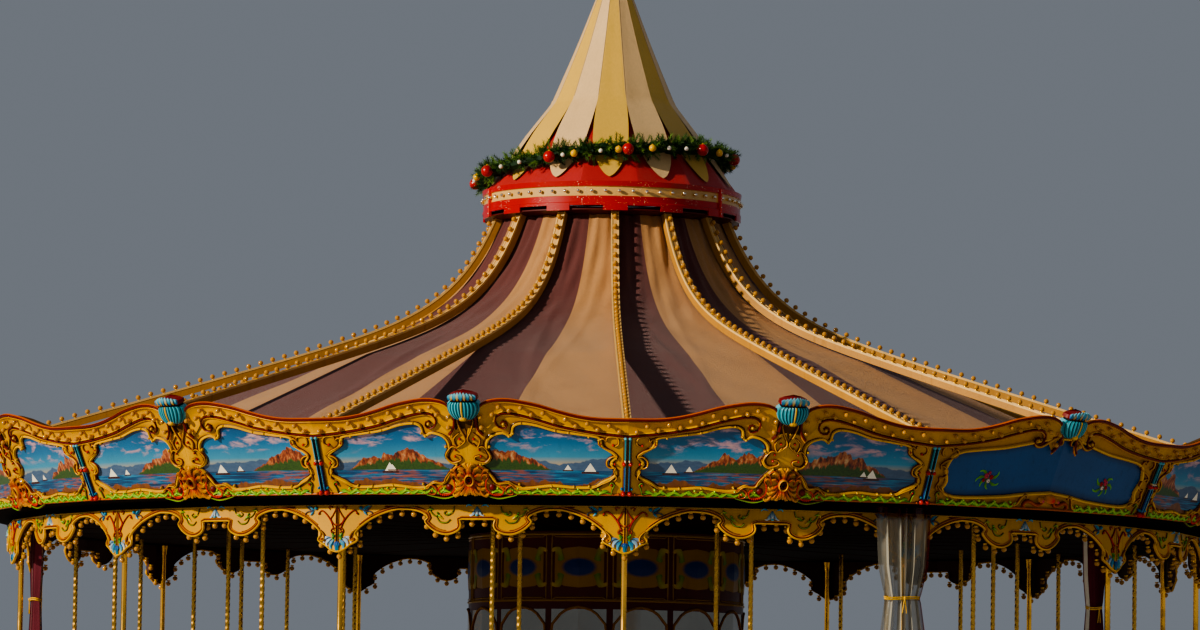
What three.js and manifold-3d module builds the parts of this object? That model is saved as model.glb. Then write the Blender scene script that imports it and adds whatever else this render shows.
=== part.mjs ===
// A fairground galloper carousel of fourteen bays: a fixed base and mast, and a turntable that
// carries the deck, the posts, the carved valance and cornice, the canvas top with its light
// ribs, the crown with its spire, and two rows of horses, the outer row on rising poles.
// Millimetres, +Z up, origin on the ground under the axis. Angle 0 points along -Y, and
// angles grow towards +X.
import * as THREE from 'three';
import { mergeVertices } from 'three/addons/utils/BufferGeometryUtils.js';
import Module from 'manifold-3d';

const wasm = await Module();
wasm.setup();

// Driving dimensions
const BAYS = 14;
const BAY = (2 * Math.PI) / BAYS;
const GAP = 0.3;

const DECK_TOP = 460;
const DECK_THICKNESS = 60;
const DECK_RADIUS = 5600;
const DECK_HOLE = 640;

const BASE_TOP = 160;
const PAD_HEIGHT = 40;
const BASE_BEAMS = 7;
const BEAM_REACH = 4900;
const MAST_RADIUS = 140;
const MAST_TOP = 5900;

const POST_CIRCLE = 5540;
const POST_RADIUS = 25;
const BEAM_INNER = 5450;
const BEAM_FACE = 5584;
const BEAM_UNDER = 3395;
const SOFFIT_UNDER = 3470;
const SOFFIT_RADIUS = 5850;
const CORNICE_BASE = 3500;

const CEILING_UNDER = 3400;
const CEILING_THICKNESS = 20;
const DRUM_RADIUS = 1300;
const DRUM_WALL = 30;

const VALANCE_THICKNESS = 30;
const VALANCE_TOP = 3420;

const CORNICE_RADIUS = 5830;
const CORNICE_LEAN = 290 / 630;
const CORNICE_THICKNESS = 50;

const RIB_WIDTH = 66;
const RIB_DEPTH = 70;
const CANVAS_THICKNESS = 10;

const CROWN_FLOOR = 6320;
const CROWN_RADIUS = 1220;
const CROWN_UNDER = 6390;
const CROWN_TOP = 6640;
const SPIRE_NECK = 8800;

const OUTER_ROW = 4980;
const INNER_ROW = 3870;
const POLE_RADIUS = 22;
const POLE_SIDES = 6;
const POLE_HOLE = POLE_RADIUS + 0.8;
const POLE_FOOT = 315;
const POLE_HEAD = 3700;
const BARREL_HEIGHT = 1330;

// A point on a circle about the axis.
function polar(radius, angle, height) {
  return new THREE.Vector3(radius * Math.sin(angle), -radius * Math.cos(angle), height);
}

function mix(a, b, t) {
  return a + (b - a) * t;
}

function signedVolume(positions, faces) {
  let sum = 0;
  const corner = faces.map((i) => new THREE.Vector3(...positions.slice(3 * i, 3 * i + 3)));
  for (let i = 0; i < corner.length; i += 3) {
    sum += corner[i].dot(corner[i + 1].clone().cross(corner[i + 2]));
  }
  return sum;
}

// Flat end of a ring as strips between its first and second half.
function stripCap(count) {
  const triangles = [];
  for (let j = 0; 2 * j < count - 2; j += 1) {
    const quad = [j, j + 1, count - 2 - j, count - 1 - j];
    triangles.push([quad[0], quad[1], quad[3]]);
    if (quad[1] !== quad[2]) {
      triangles.push([quad[1], quad[2], quad[3]]);
    }
  }
  return triangles;
}

// Joins rings of equal length into one closed solid. An open run gets flat ends.
function loft(rings, closed = false, cap = stripCap(rings[0].length)) {
  const count = rings[0].length;
  const positions = rings.flat().flatMap((p) => [p.x, p.y, p.z]);
  const faces = [];
  const spans = closed ? rings.length : rings.length - 1;
  for (let i = 0; i < spans; i += 1) {
    const here = i * count;
    const next = ((i + 1) % rings.length) * count;
    for (let j = 0; j < count; j += 1) {
      const k = (j + 1) % count;
      faces.push(here + j, next + j, next + k, here + j, next + k, here + k);
    }
  }
  if (!closed) {
    const last = (rings.length - 1) * count;
    for (const [a, b, c] of cap) {
      faces.push(a, b, c, last + a, last + c, last + b);
    }
  }
  if (signedVolume(positions, faces) < 0) {
    faces.reverse();
  }
  const geometry = new THREE.BufferGeometry();
  geometry.setAttribute('position', new THREE.Float32BufferAttribute(positions, 3));
  geometry.setIndex(faces);
  return geometry;
}

function toSolid(geometry) {
  const bare = geometry.clone();
  bare.deleteAttribute('normal');
  bare.deleteAttribute('uv');
  const merged = mergeVertices(bare, 0.001);
  return new wasm.Manifold(new wasm.Mesh({
    numProp: 3,
    vertProperties: new Float32Array(merged.getAttribute('position').array),
    triVerts: new Uint32Array(merged.getIndex().array),
  }));
}

function fromSolid(solid) {
  const mesh = solid.getMesh();
  const geometry = new THREE.BufferGeometry();
  geometry.setAttribute('position', new THREE.BufferAttribute(mesh.vertProperties, 3));
  geometry.setIndex(new THREE.BufferAttribute(mesh.triVerts, 1));
  return geometry;
}

function union(geometries) {
  let solid = toSolid(geometries[0]);
  for (const geometry of geometries.slice(1)) {
    solid = solid.add(toSolid(geometry));
  }
  return fromSolid(solid);
}

// A closed profile of [radius, height] points carried round the axis on a polygon of sides
// sides, with a corner at every ridge.
function ring(profile, sides) {
  const rings = [];
  for (let i = 0; i < sides; i += 1) {
    const angle = (2 * Math.PI * i) / sides;
    rings.push(profile.map(([radius, height]) => polar(radius, angle, height)));
  }
  return loft(rings, true);
}

// A solid of revolution whose profile starts and ends on the axis.
function turned(profile, sides) {
  const points = profile.map(([radius, height]) => new THREE.Vector2(radius, height));
  const geometry = new THREE.LatheGeometry(points, sides);
  geometry.rotateX(Math.PI / 2);
  const index = geometry.getIndex().array;
  const faces = [];
  for (let i = 0; i < index.length; i += 3) {
    faces.push(index[i], index[i + 1], index[i + 2]);
  }
  geometry.setIndex(faces);
  return geometry;
}

function box(width, depth, height, x, y, z) {
  const geometry = new THREE.BoxGeometry(width, depth, height);
  geometry.translate(x, y, z);
  return geometry;
}

function upright(radius, sides, low, high, x, y) {
  const geometry = new THREE.CylinderGeometry(radius, radius, high - low, sides);
  geometry.rotateX(Math.PI / 2);
  geometry.translate(x, y, (low + high) / 2);
  return geometry;
}

// Middle of each bay on a circle, where the horse poles stand.
function bayMiddles(radius) {
  return Array.from({ length: BAYS }, (_, k) => polar(radius, (k + 0.5) * BAY, 0));
}

// The ring beam with its soffit, which carries the boards, and the posts welded under it.
function ringFrame() {
  const top = CORNICE_BASE - GAP;
  const beam = ring([[BEAM_INNER, BEAM_UNDER], [BEAM_FACE, BEAM_UNDER], [BEAM_FACE, SOFFIT_UNDER],
    [SOFFIT_RADIUS, SOFFIT_UNDER], [SOFFIT_RADIUS, top], [BEAM_INNER, top]], 2 * BAYS);
  const posts = Array.from({ length: BAYS }, (_, k) => {
    const foot = polar(POST_CIRCLE, k * BAY, 0);
    return upright(POST_RADIUS, 8, DECK_TOP + GAP, BEAM_UNDER + 20, foot.x, foot.y);
  });
  return union([beam, ...posts]);
}

// A flat plate between two polygons about the axis, with a hole for each rising pole.
function plate(outer, inner, low, thickness) {
  const outline = (radius, sides, turn = 0) => Array.from({ length: sides }, (_, i) => {
    const p = polar(radius, turn + (2 * Math.PI * i) / sides, 0);
    return new THREE.Vector2(p.x, p.y);
  });
  const shape = new THREE.Shape(outline(outer, 2 * BAYS));
  shape.holes.push(new THREE.Path(outline(inner, 2 * BAYS)));
  bayMiddles(OUTER_ROW).forEach((centre, k) => {
    const hole = outline(POLE_HOLE, POLE_SIDES, (k + 0.5) * BAY);
    shape.holes.push(new THREE.Path(hole.map((p) => p.add(centre))));
  });
  const geometry = new THREE.ExtrudeGeometry(shape, { depth: thickness, bevelEnabled: false });
  geometry.translate(0, 0, low);
  return geometry;
}

// Base: a hub and radial beams on pads that stand on the ground.
function baseFrame() {
  const pieces = [turned([[0, 0], [450, 0], [450, BASE_TOP], [0, BASE_TOP]], 16)];
  for (let i = 0; i < BASE_BEAMS; i += 1) {
    const angle = ((i + 0.5) * 2 * Math.PI) / BASE_BEAMS;
    const beam = box(160, BEAM_REACH, BASE_TOP - PAD_HEIGHT, 0, -BEAM_REACH / 2, (BASE_TOP + PAD_HEIGHT) / 2);
    const pads = [0.5, 0.95].map((t) => box(400, 400, PAD_HEIGHT + 20, 0, -BEAM_REACH * t, (PAD_HEIGHT + 20) / 2));
    for (const piece of [beam, ...pads]) {
      piece.rotateZ(angle);
      pieces.push(piece);
    }
  }
  return union(pieces);
}

function mast() {
  const foot = BASE_TOP + GAP;
  return turned([[0, foot], [300, foot], [300, foot + 40], [MAST_RADIUS, foot + 80],
    [MAST_RADIUS, MAST_TOP - 40], [220, MAST_TOP - 40], [220, MAST_TOP], [0, MAST_TOP]], 16);
}

// Top line of a light rib: straight over the canvas, with a bell that rises to the crown.
function ribHeight(radius) {
  return 4120 + 0.31 * (5850 - radius) + 752 * Math.exp((1150 - radius) / 370);
}

function ribNormal(radius) {
  const slope = -0.31 - (752 / 370) * Math.exp((1150 - radius) / 370);
  const length = Math.hypot(1, slope);
  return [-slope / length, 1 / length];
}

// A point under the rib's top line, measured square to it, as [radius, height].
function underRib(radius, depth) {
  const [outward, upward] = ribNormal(radius);
  return [radius - outward * depth, ribHeight(radius) - upward * depth];
}

// Radii from the crown to the eave, closer together on the bell. The ribs and the canvas share
// them, so that their chords stay parallel.
const RIB_END = 5960;
const BELL_STEPS = Array.from({ length: 9 }, (_, i) => mix(1130, RIB_END, (i / 8) ** 1.8));

function corniceFace(height) {
  return CORNICE_RADIUS + (height - CORNICE_BASE) * CORNICE_LEAN;
}

function lightRib(angle) {
  const rings = [];
  const along = new THREE.Vector3(Math.cos(angle), Math.sin(angle), 0).multiplyScalar(RIB_WIDTH / 2);
  for (const radius of BELL_STEPS) {
    let section = [underRib(radius, 0), underRib(radius, RIB_DEPTH)];
    if (radius === RIB_END) {
      const seat = (z) => corniceFace(z) - CORNICE_THICKNESS - 4;
      const top = ribHeight(6030);
      section = [[seat(top), top], [seat(top - RIB_DEPTH), top - RIB_DEPTH]];
    }
    const [top, under] = section.map(([r, z]) => polar(r, angle, z));
    rings.push([top.clone().sub(along), top.clone().add(along), under.clone().add(along), under.clone().sub(along)]);
  }
  return loft(rings);
}

// The ribs are welded to the crown floor, which turns on the mast's head.
function lightRibs() {
  const hub = turned([[0, MAST_TOP + GAP], [250, MAST_TOP + GAP], [250, CROWN_FLOOR], [1200, CROWN_FLOOR],
    [1200, CROWN_UNDER - GAP], [1120, CROWN_UNDER - GAP], [1120, CROWN_FLOOR + 40], [0, CROWN_FLOOR + 40]], 2 * BAYS);
  const pieces = [hub];
  for (let k = 0; k < BAYS; k += 1) {
    pieces.push(lightRib(k * BAY));
  }
  return union(pieces);
}

// The canvas follows the ribs closely on the bell and falls away from them towards the eave.
function canvasPoint(radius, depth) {
  const below = RIB_DEPTH + 14 + 0.115 * Math.max(0, radius - 2900);
  return underRib(radius, below + depth);
}

function canopy() {
  const rings = [];
  const steps = [...BELL_STEPS.slice(0, -1), 5690];
  for (let i = 0; i < 2 * BAYS; i += 1) {
    const angle = (i * BAY) / 2;
    const drape = i % 2 === 0 ? 0 : 1;
    const line = (depth) => steps.map((radius) => {
      const [r, z] = canvasPoint(radius, depth);
      const sag = drape * 40 * Math.sin((Math.PI * (radius - steps[0])) / (5690 - steps[0]));
      return polar(r, angle, Math.min(z - sag, CROWN_FLOOR - GAP));
    });
    const hem = polar(5560, angle, CORNICE_BASE);
    const hemInside = polar(5560 - CANVAS_THICKNESS, angle, CORNICE_BASE);
    rings.push([...line(0), hem, hemInside, ...line(CANVAS_THICKNESS).reverse()]);
  }
  return loft(rings, true);
}

// Lower edge of the valance over half a bay, from the drop at a post to the notch in the
// middle: share of the half bay, height of the edge.
const VALANCE_EDGE = [[0, 3015], [0.07, 3045], [0.145, 3125], [0.16, 3265], [0.24, 3325], [0.35, 3360],
  [0.48, 3373], [0.6, 3352], [0.64, 3265], [0.7, 3190], [0.79, 3163], [0.865, 3200], [0.89, 3289]];

function valance() {
  const rings = [];
  const outer = BEAM_FACE + GAP + VALANCE_THICKNESS;
  const inner = BEAM_FACE + GAP;
  const notch = VALANCE_EDGE.at(-1)[1];
  const edge = [...VALANCE_EDGE.map(([u, z]) => [u / 2, z]), [0.5, notch],
    ...VALANCE_EDGE.slice(1).map(([u, z]) => [1 - u / 2, z]).reverse()];
  for (let k = 0; k < BAYS; k += 1) {
    for (const [share, height] of edge) {
      const halfBay = share < 0.5 ? 0 : 1;
      const from = (k + halfBay / 2) * BAY;
      const t = share * 2 - halfBay;
      const at = (radius, z) => polar(radius, from, z).lerp(polar(radius, from + BAY / 2, z), t);
      rings.push([at(outer, height), at(outer, VALANCE_TOP), at(inner, VALANCE_TOP), at(inner, height)]);
    }
  }
  return loft(rings, true);
}

// How the eight points of a cornice board's section are joined at its ends.
const CORNICE_CAP = [[0, 1, 7], [1, 2, 7], [2, 3, 7], [3, 6, 7], [3, 4, 6], [4, 5, 6]];

// Columns of a cornice board from ridge to valley: share of the half bay, top of the board,
// how far the panel field and the foot stand out.
const CORNICE_COLUMNS = [[0, 4130, 40, 40], [0.1, 4136, 12, 40], [0.4, 4188, 12, 40],
  [0.75, 4285, 12, 45], [0.9, 4235, 50, 100], [1, 4165, 60, 115]];

function corniceUnit(k) {
  const rings = [];
  const seam = 0.5 * GAP / CORNICE_RADIUS;
  const ridges = [k * BAY + seam, (k + 1) * BAY - seam];
  const valley = (k + 0.5) * BAY;
  const foot = CORNICE_BASE;
  const columns = [...CORNICE_COLUMNS.map((c) => [0, ...c]),
    ...CORNICE_COLUMNS.slice(0, -1).reverse().map((c) => [1, ...c])];
  for (const [side, share, top, field, heel] of columns) {
    const at = (stand, z) => {
      const radius = corniceFace(z) + stand;
      return polar(radius, ridges[side], z).lerp(polar(radius, valley, z), share);
    };
    rings.push([at(heel, foot), at(heel, foot + 70), at(field, foot + 90), at(field, top - 200),
      at(45, top - 190), at(45, top), at(-CORNICE_THICKNESS, top), at(-CORNICE_THICKNESS, foot)]);
  }
  const shell = new THREE.SphereGeometry(1, 7, 4);
  shell.scale(130, 75, 120);
  shell.rotateZ(valley);
  const seat = polar(corniceFace(4280) + 20, valley, 4270);
  shell.translate(seat.x, seat.y, seat.z);
  return union([loft(rings, false, CORNICE_CAP), shell]);
}

// Crown: a red drum on the crown floor, a sloping skirt on it, and the spire over the skirt.
function crownDrum() {
  return ring([[1179, CROWN_UNDER], [CROWN_RADIUS, CROWN_UNDER], [CROWN_RADIUS, CROWN_TOP], [1179, CROWN_TOP]], 2 * BAYS);
}

const SKIRT_LINE = [[1195, CROWN_TOP + GAP], [790, 7150], [540, 7470], [366, 7980]];

function crownSkirt() {
  const wall = 12;
  return ring([...SKIRT_LINE, ...SKIRT_LINE.map(([r, z]) => [r - wall, z]).reverse()], 2 * BAYS);
}

// Outer line of the spire from a petal's tip up to the apex, as radius and height.
const SPIRE_LINE = [[1130, 6745], [825, 7180], [590, 7480], [362, 8020], [180, 8490]];

// The spire ends in fourteen petals. Between two petals its edge stops at the slit's height.
function spire() {
  const rings = [];
  const wall = 12;
  const tip = 2;
  const slit = [570, 7515];
  for (let i = 0; i < 2 * BAYS; i += 1) {
    const line = SPIRE_LINE.map((p, j) => (i % 2 === 1 && j < tip + 1 ? [slit[0], slit[1] + j] : p));
    const angle = (i * BAY) / 2;
    const profile = [...line, [60, SPIRE_NECK], [60 - wall, SPIRE_NECK], ...line.map(([r, z]) => [r - wall, z]).reverse()];
    rings.push(profile.map(([r, z]) => polar(r, angle, z)));
  }
  return loft(rings, true);
}

function finial() {
  const seat = SPIRE_NECK + GAP;
  return turned([[0, seat], [75, seat], [80, seat + 40], [45, seat + 90], [95, seat + 150], [120, seat + 215],
    [95, seat + 280], [40, seat + 330], [22, seat + 420], [0, seat + 560]], 12);
}

// A rope of artificial fir that lies on the petals, lower on one side.
function garland() {
  const rings = [];
  const thick = 62;
  const [[lowR, lowZ], [highR, highZ]] = SPIRE_LINE;
  const length = Math.hypot(lowR - highR, highZ - lowZ);
  const along = [(lowR - highR) / length, (lowZ - highZ) / length];
  const out = [-along[1], along[0]];
  const stand = thick * Math.cos(Math.PI / 6) + GAP;
  for (let i = 0; i < 2 * BAYS; i += 1) {
    const angle = (i * BAY) / 2;
    const share = 0.7 - 0.18 * Math.cos(angle) - 0.22 * Math.sin(angle);
    const radius = mix(highR, lowR, share) + out[0] * stand;
    const height = mix(highZ, lowZ, share) + out[1] * stand;
    const section = [];
    for (let j = 0; j < 6; j += 1) {
      const turn = ((j + 0.5) * Math.PI) / 3;
      const up = thick * Math.cos(turn);
      const side = thick * Math.sin(turn);
      section.push(polar(radius + up * out[0] + side * along[0], angle, height + up * out[1] + side * along[1]));
    }
    rings.push(section);
  }
  return loft(rings, true);
}

// A run of oval sections along a bent line, each [forward, up, half height, half width].
function limb(stations, side, sides) {
  const centre = stations.map(([x, z]) => new THREE.Vector3(x, side, z));
  return loft(stations.map(([, , high, wide], i) => {
    const before = centre[Math.max(i - 1, 0)];
    const after = centre[Math.min(i + 1, stations.length - 1)];
    const lengthways = after.clone().sub(before).normalize();
    const across = new THREE.Vector3(0, 1, 0);
    const up = across.clone().cross(lengthways);
    return Array.from({ length: sides }, (_, j) => {
      const turn = (2 * Math.PI * (j + 0.5)) / sides;
      return centre[i].clone().addScaledVector(up, high * Math.cos(turn)).addScaledVector(across, wide * Math.sin(turn));
    });
  }));
}

// A galloping horse about its pole, nose towards +X, with the middle of the barrel at height 0.
function horsePieces() {
  const trunk = [[-560, 70, 110, 90], [-400, 30, 225, 170], [60, -20, 210, 170], [330, 20, 225, 165],
    [490, 260, 130, 85], [560, 600, 80, 60]];
  const head = [[480, 640, 110, 65], [860, 400, 55, 45]];
  const legs = [
    [[340, -60, 75, 65], [560, -480, 40, 40]],
    [[340, -60, 75, 65], [760, -400, 40, 40]],
    [[-400, -40, 85, 70], [-690, -540, 40, 40]],
    [[-400, -40, 85, 70], [-520, -610, 40, 40]],
  ];
  const tail = [[-500, 110, 55, 50], [-760, -220, 45, 40]];
  return [limb(trunk, 0, 6), limb(head, 0, 4), ...legs.map((leg, i) => limb(leg, i % 2 ? 95 : -95, 4)), limb(tail, 0, 4)];
}

const HORSE = union(horsePieces());

function horseOnPole(seat, angle, low, high) {
  const horse = HORSE.clone();
  horse.translate(0, 0, BARREL_HEIGHT);
  const pole = upright(POLE_RADIUS, POLE_SIDES, low, high, 0, 0);
  const whole = union([horse, pole]);
  whole.rotateZ(angle);
  whole.translate(seat.x, seat.y, 0);
  return whole;
}


// A gathered curtain by a post, drawn in at its tie.
function gatheredCurtain(angle, circle, top, width, depth) {
  const levels = [[top, 1, 0.8], [top - 160, 0.95, 0.85], [2690, 0.62, 0.7], [2300, 0.85, 0.95],
    [1300, 0.95, 1], [620, 1, 1]];
  return loft(levels.map(([z, wide, deep]) => Array.from({ length: 10 }, (_, j) => {
    const turn = (2 * Math.PI * (j + 0.5)) / 10;
    const radius = circle + (depth / 2) * deep * Math.cos(turn);
    const sideways = (width / 2) * wide * Math.sin(turn);
    return polar(radius, angle + sideways / radius, z);
  })));
}

const group = new THREE.Group();

function add(name, geometry, colour, roughness, metalness) {
  const material = new THREE.MeshStandardMaterial({ color: colour, roughness, metalness, flatShading: true });
  const mesh = new THREE.Mesh(geometry, material);
  mesh.name = name;
  group.add(mesh);
}

function numbered(name, k) {
  return `${name}_${String(k + 1).padStart(2, '0')}`;
}

const STEEL = 0x5a5c5e;
const DARK = 0x2a1d18;
const BRASS = 0xb98a34;
const GOLD = 0xd9a520;
const RED = 0xa01818;
const CREAM = 0xd8bf8e;
const IVORY = 0xe6dfd0;

add('base_frame', baseFrame(), STEEL, 0.6, 0.4);
add('centre_mast', mast(), STEEL, 0.6, 0.4);
add('deck', plate(DECK_RADIUS, DECK_HOLE, DECK_TOP - DECK_THICKNESS, DECK_THICKNESS), 0x7a5a3a, 0.7, 0);
add('deck_fascia', ring([[DECK_RADIUS + GAP, 80], [DECK_RADIUS + 25, 80], [DECK_RADIUS + 25, DECK_TOP],
  [DECK_RADIUS + GAP, DECK_TOP]], 2 * BAYS), RED, 0.5, 0.1);
add('centre_drum', ring([[DRUM_RADIUS - DRUM_WALL, DECK_TOP + GAP], [DRUM_RADIUS, DECK_TOP + GAP],
  [DRUM_RADIUS, CEILING_UNDER - GAP], [DRUM_RADIUS - DRUM_WALL, CEILING_UNDER - GAP]], 2 * BAYS), GOLD, 0.5, 0.2);
add('ceiling', plate(BEAM_INNER - GAP, 1000, CEILING_UNDER, CEILING_THICKNESS), DARK, 0.8, 0);
add('ring_frame', ringFrame(), BRASS, 0.3, 0.9);
add('light_ribs', lightRibs(), CREAM, 0.5, 0.1);
add('valance', valance(), GOLD, 0.45, 0.3);
add('canopy', canopy(), 0x7b4a45, 0.9, 0);
add('crown_drum', crownDrum(), RED, 0.4, 0.1);
add('crown_skirt', crownSkirt(), RED, 0.5, 0);
add('spire', spire(), CREAM, 0.7, 0);
add('finial', finial(), GOLD, 0.3, 0.8);
add('crown_garland', garland(), 0x1f4a24, 0.9, 0);
for (let k = 0; k < BAYS; k += 1) {
  add(numbered('cornice', k), corniceUnit(k), GOLD, 0.45, 0.3);
}
bayMiddles(OUTER_ROW).forEach((seat, k) => {
  add(numbered('horse', k), horseOnPole(seat, (k + 0.5) * BAY, POLE_FOOT, POLE_HEAD), IVORY, 0.4, 0);
});
// The inner row stands still: its poles run from the deck to the ceiling.
bayMiddles(INNER_ROW).forEach((seat, k) => {
  const horse = horseOnPole(seat, (k + 0.5) * BAY, DECK_TOP + GAP, CEILING_UNDER - GAP);
  add(numbered('inner_horse', k), horse, IVORY, 0.4, 0);
});
add('clear_curtain', gatheredCurtain(BAY - 0.02, 5724, SOFFIT_UNDER - GAP, 460, 150), 0xc9ccc8, 0.3, 0);
add('striped_curtain_left', gatheredCurtain(-3 * BAY, 5400, BEAM_UNDER - GAP, 340, 170), RED, 0.8, 0);
add('striped_curtain_right', gatheredCurtain(2 * BAY, 5400, BEAM_UNDER - GAP, 340, 170), RED, 0.8, 0);

export default group;
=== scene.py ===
"""The looks of a fairground galloper ride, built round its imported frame. Metres, +Z up.

Angle 0 points along -Y at a ridge of the boards, and angles grow towards +X.
"""
import math

import bpy
import numpy as np
from mathutils import Matrix, Vector


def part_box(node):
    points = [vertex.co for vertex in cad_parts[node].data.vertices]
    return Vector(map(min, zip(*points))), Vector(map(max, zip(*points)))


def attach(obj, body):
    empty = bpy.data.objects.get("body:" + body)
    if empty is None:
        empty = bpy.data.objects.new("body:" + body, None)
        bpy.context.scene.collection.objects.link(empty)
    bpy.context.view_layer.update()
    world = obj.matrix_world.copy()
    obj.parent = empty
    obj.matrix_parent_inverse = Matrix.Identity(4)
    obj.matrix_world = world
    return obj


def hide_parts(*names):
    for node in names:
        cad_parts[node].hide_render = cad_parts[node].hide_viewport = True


bl_info = {
    "name": "Galloper ride",
    "version": (1, 0, 0),
    "blender": (4, 5, 0),
    "location": "View3D > Sidebar > Ride",
    "description": "Carved boards, striped top, horses and lamps of a fairground ride",
    "category": "Add Mesh",
}

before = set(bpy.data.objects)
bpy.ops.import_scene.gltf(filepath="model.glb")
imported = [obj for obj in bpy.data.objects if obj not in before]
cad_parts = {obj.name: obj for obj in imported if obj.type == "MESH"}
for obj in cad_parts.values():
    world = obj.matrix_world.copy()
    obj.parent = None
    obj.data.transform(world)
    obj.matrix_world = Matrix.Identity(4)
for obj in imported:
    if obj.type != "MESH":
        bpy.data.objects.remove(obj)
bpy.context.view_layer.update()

TURN = 2 * math.pi
BAYS = 14
BAY = TURN / BAYS
FACES = 2 * BAYS


def face_width(radius):
    """Width of one flat face of a ring that has two to a bay; its corners lie at the radius."""
    return 2 * radius * math.sin(BAY / 4)


# Radii and heights of the ride, as in the frame
CORNICE_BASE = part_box("cornice_01")[0].z
POST_CIRCLE = 5.54
FACE_RADIUS = 5.83
FACE_LEAN = 290 / 630
BOARD_HALF = face_width(FACE_RADIUS)
VALANCE_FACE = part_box("valance")[1].y
VALANCE_HALF = face_width(VALANCE_FACE)
OUTER_ROW = 4.98
INNER_ROW = 3.87
FASCIA_FACE = 5.616
DRUM_FACE = 1.292


def unit(vectors):
    """Vectors shortened or stretched to length one."""
    length = np.linalg.norm(vectors, axis=-1, keepdims=True)
    return vectors / np.maximum(length, 1e-12)


def stacked(*parts):
    """Coordinates as points: arrays and numbers that fit each other, side by side."""
    return np.stack(np.broadcast_arrays(*parts), -1)


def polar(radius, angle, height):
    """Points on circles about the axis: (R sin a, -R cos a, z)."""
    return stacked(radius * np.sin(angle), -radius * np.cos(angle), height)


def round_angles(count):
    """Angles spread evenly over one turn."""
    return TURN * np.arange(count) / count


def run_length(path):
    """Length run along a line up to each of its points."""
    return np.concatenate([[0], np.cumsum(np.linalg.norm(np.diff(path, axis=0), axis=1))])


def mix(a, b, share):
    """A share of the way from a to b."""
    return a + (b - a) * share


def smooth_step(low, high, value):
    """0 under low, 1 over high and an even S between them."""
    share = np.clip((value - low) / (high - low), 0, 1)
    return share * share * (3 - 2 * share)


def colour(text):
    """Screen colour code to the linear light that shaders use."""
    value = np.array([int(text[i:i + 2], 16) for i in (1, 3, 5)]) / 255
    return np.where(value <= 0.04045, value / 12.92, ((value + 0.055) / 1.055) ** 2.4)


# Paints, as screen colours
GOLD = colour("#cc9404")
GOLD_LIGHT = colour("#e2ac0e")
GOLD_DEEP = colour("#8f5404")
ORANGE = colour("#c95f06")
UMBER = colour("#3f1206")
DARK_RED = colour("#74100a")
RED = colour("#ab0a08")
SCARLET = colour("#cf2408")
GREEN = colour("#6cbc12")
DEEP_GREEN = colour("#165c22")
TEAL = colour("#10808f")
BLUE = colour("#123f96")
ICE = colour("#62b4c6")
CREAM = colour("#e0b872")
STRIP_CREAM = colour("#cfa462")
IVORY = colour("#e9e2d2")
MAROON = colour("#5a221c")
TAN = colour("#ae7d49")
INK = colour("#0e0a08")
PINK = colour("#c23a55")
CRIMSON = colour("#6c0a24")


class Patch:
    """A run of surface: points, faces of four and of three corners, and for each point its
    paint and its place (u, v); finish is the number of its material."""

    def __init__(self, points, quads, tris, paint, place=None, finish=0):
        self.points = points
        self.quads = quads
        self.tris = tris
        self.paint = np.broadcast_to(paint, points.shape).astype(float)
        self.place = np.zeros((len(points), 2)) if place is None else place
        if np.isscalar(finish):
            finish = np.full(len(quads) + len(tris), finish)
        self.finish = finish

    def changed(self, **parts):
        """The same patch with some of its parts put anew."""
        return Patch(**{**vars(self), **parts})

    def moved(self, law):
        """The same patch with its points put through a law."""
        return self.changed(points=law(self.points))

    def flipped(self):
        """The same patch with its faces turned over, for a mirrored copy."""
        return self.changed(quads=self.quads[:, ::-1], tris=self.tris[:, ::-1])


def joined(patches):
    """Several patches as one."""
    counts = np.cumsum([0] + [len(p.points) for p in patches])
    return Patch(
        np.concatenate([p.points for p in patches]),
        np.concatenate([p.quads + n for p, n in zip(patches, counts)]),
        np.concatenate([p.tris + n for p, n in zip(patches, counts)]),
        np.concatenate([p.paint for p in patches]),
        np.concatenate([p.place for p in patches]),
        np.concatenate([p.finish[:len(p.quads)] for p in patches]
                       + [p.finish[len(p.quads):] for p in patches]),
    )


def grid(points, paint, around=False, along=False, place=None, finish=0):
    """Surface over rows and columns of points; its front is columns turned towards rows.
    around closes the columns on themselves, along the rows."""
    rows, cols = points.shape[:2]
    i = np.arange(rows if along else rows - 1)[:, None]
    j = np.arange(cols if around else cols - 1)[None, :]
    i2, j2 = (i + 1) % rows, (j + 1) % cols
    corners = [i * cols + j, i * cols + j2, i2 * cols + j2, i2 * cols + j]
    quads = stacked(*corners).reshape(-1, 4)
    paint = np.broadcast_to(paint, points.shape).reshape(-1, 3)
    if place is None:
        v, u = np.mgrid[0:1:rows * 1j, 0:1:cols * 1j]
        place = stacked(u, v)
    return Patch(points.reshape(-1, 3), quads, np.zeros((0, 3), int), paint, place.reshape(-1, 2), finish)


def tube(rings, paint, closed=False, finish=0):
    """Rings of points joined into a skin; an open run is closed by a pole at each end, which
    lies in the middle of its last ring."""
    rows, cols = rings.shape[:2]
    skin = grid(rings, paint, around=True, along=closed, finish=finish)
    if closed:
        return skin
    poles = np.stack([rings[0].mean(0), rings[-1].mean(0)])
    j = np.arange(cols)
    j2 = (j + 1) % cols
    first = stacked(rows * cols, j2, j)
    last = stacked(rows * cols + 1, (rows - 1) * cols + j, (rows - 1) * cols + j2)
    paints = skin.paint.reshape(rows, cols, 3)
    return Patch(
        np.concatenate([skin.points, poles]), skin.quads, np.concatenate([first, last]),
        np.concatenate([skin.paint, paints[[0, -1], 0]]),
        np.concatenate([skin.place, [[0.5, 0], [0.5, 1]]]), finish)


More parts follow.
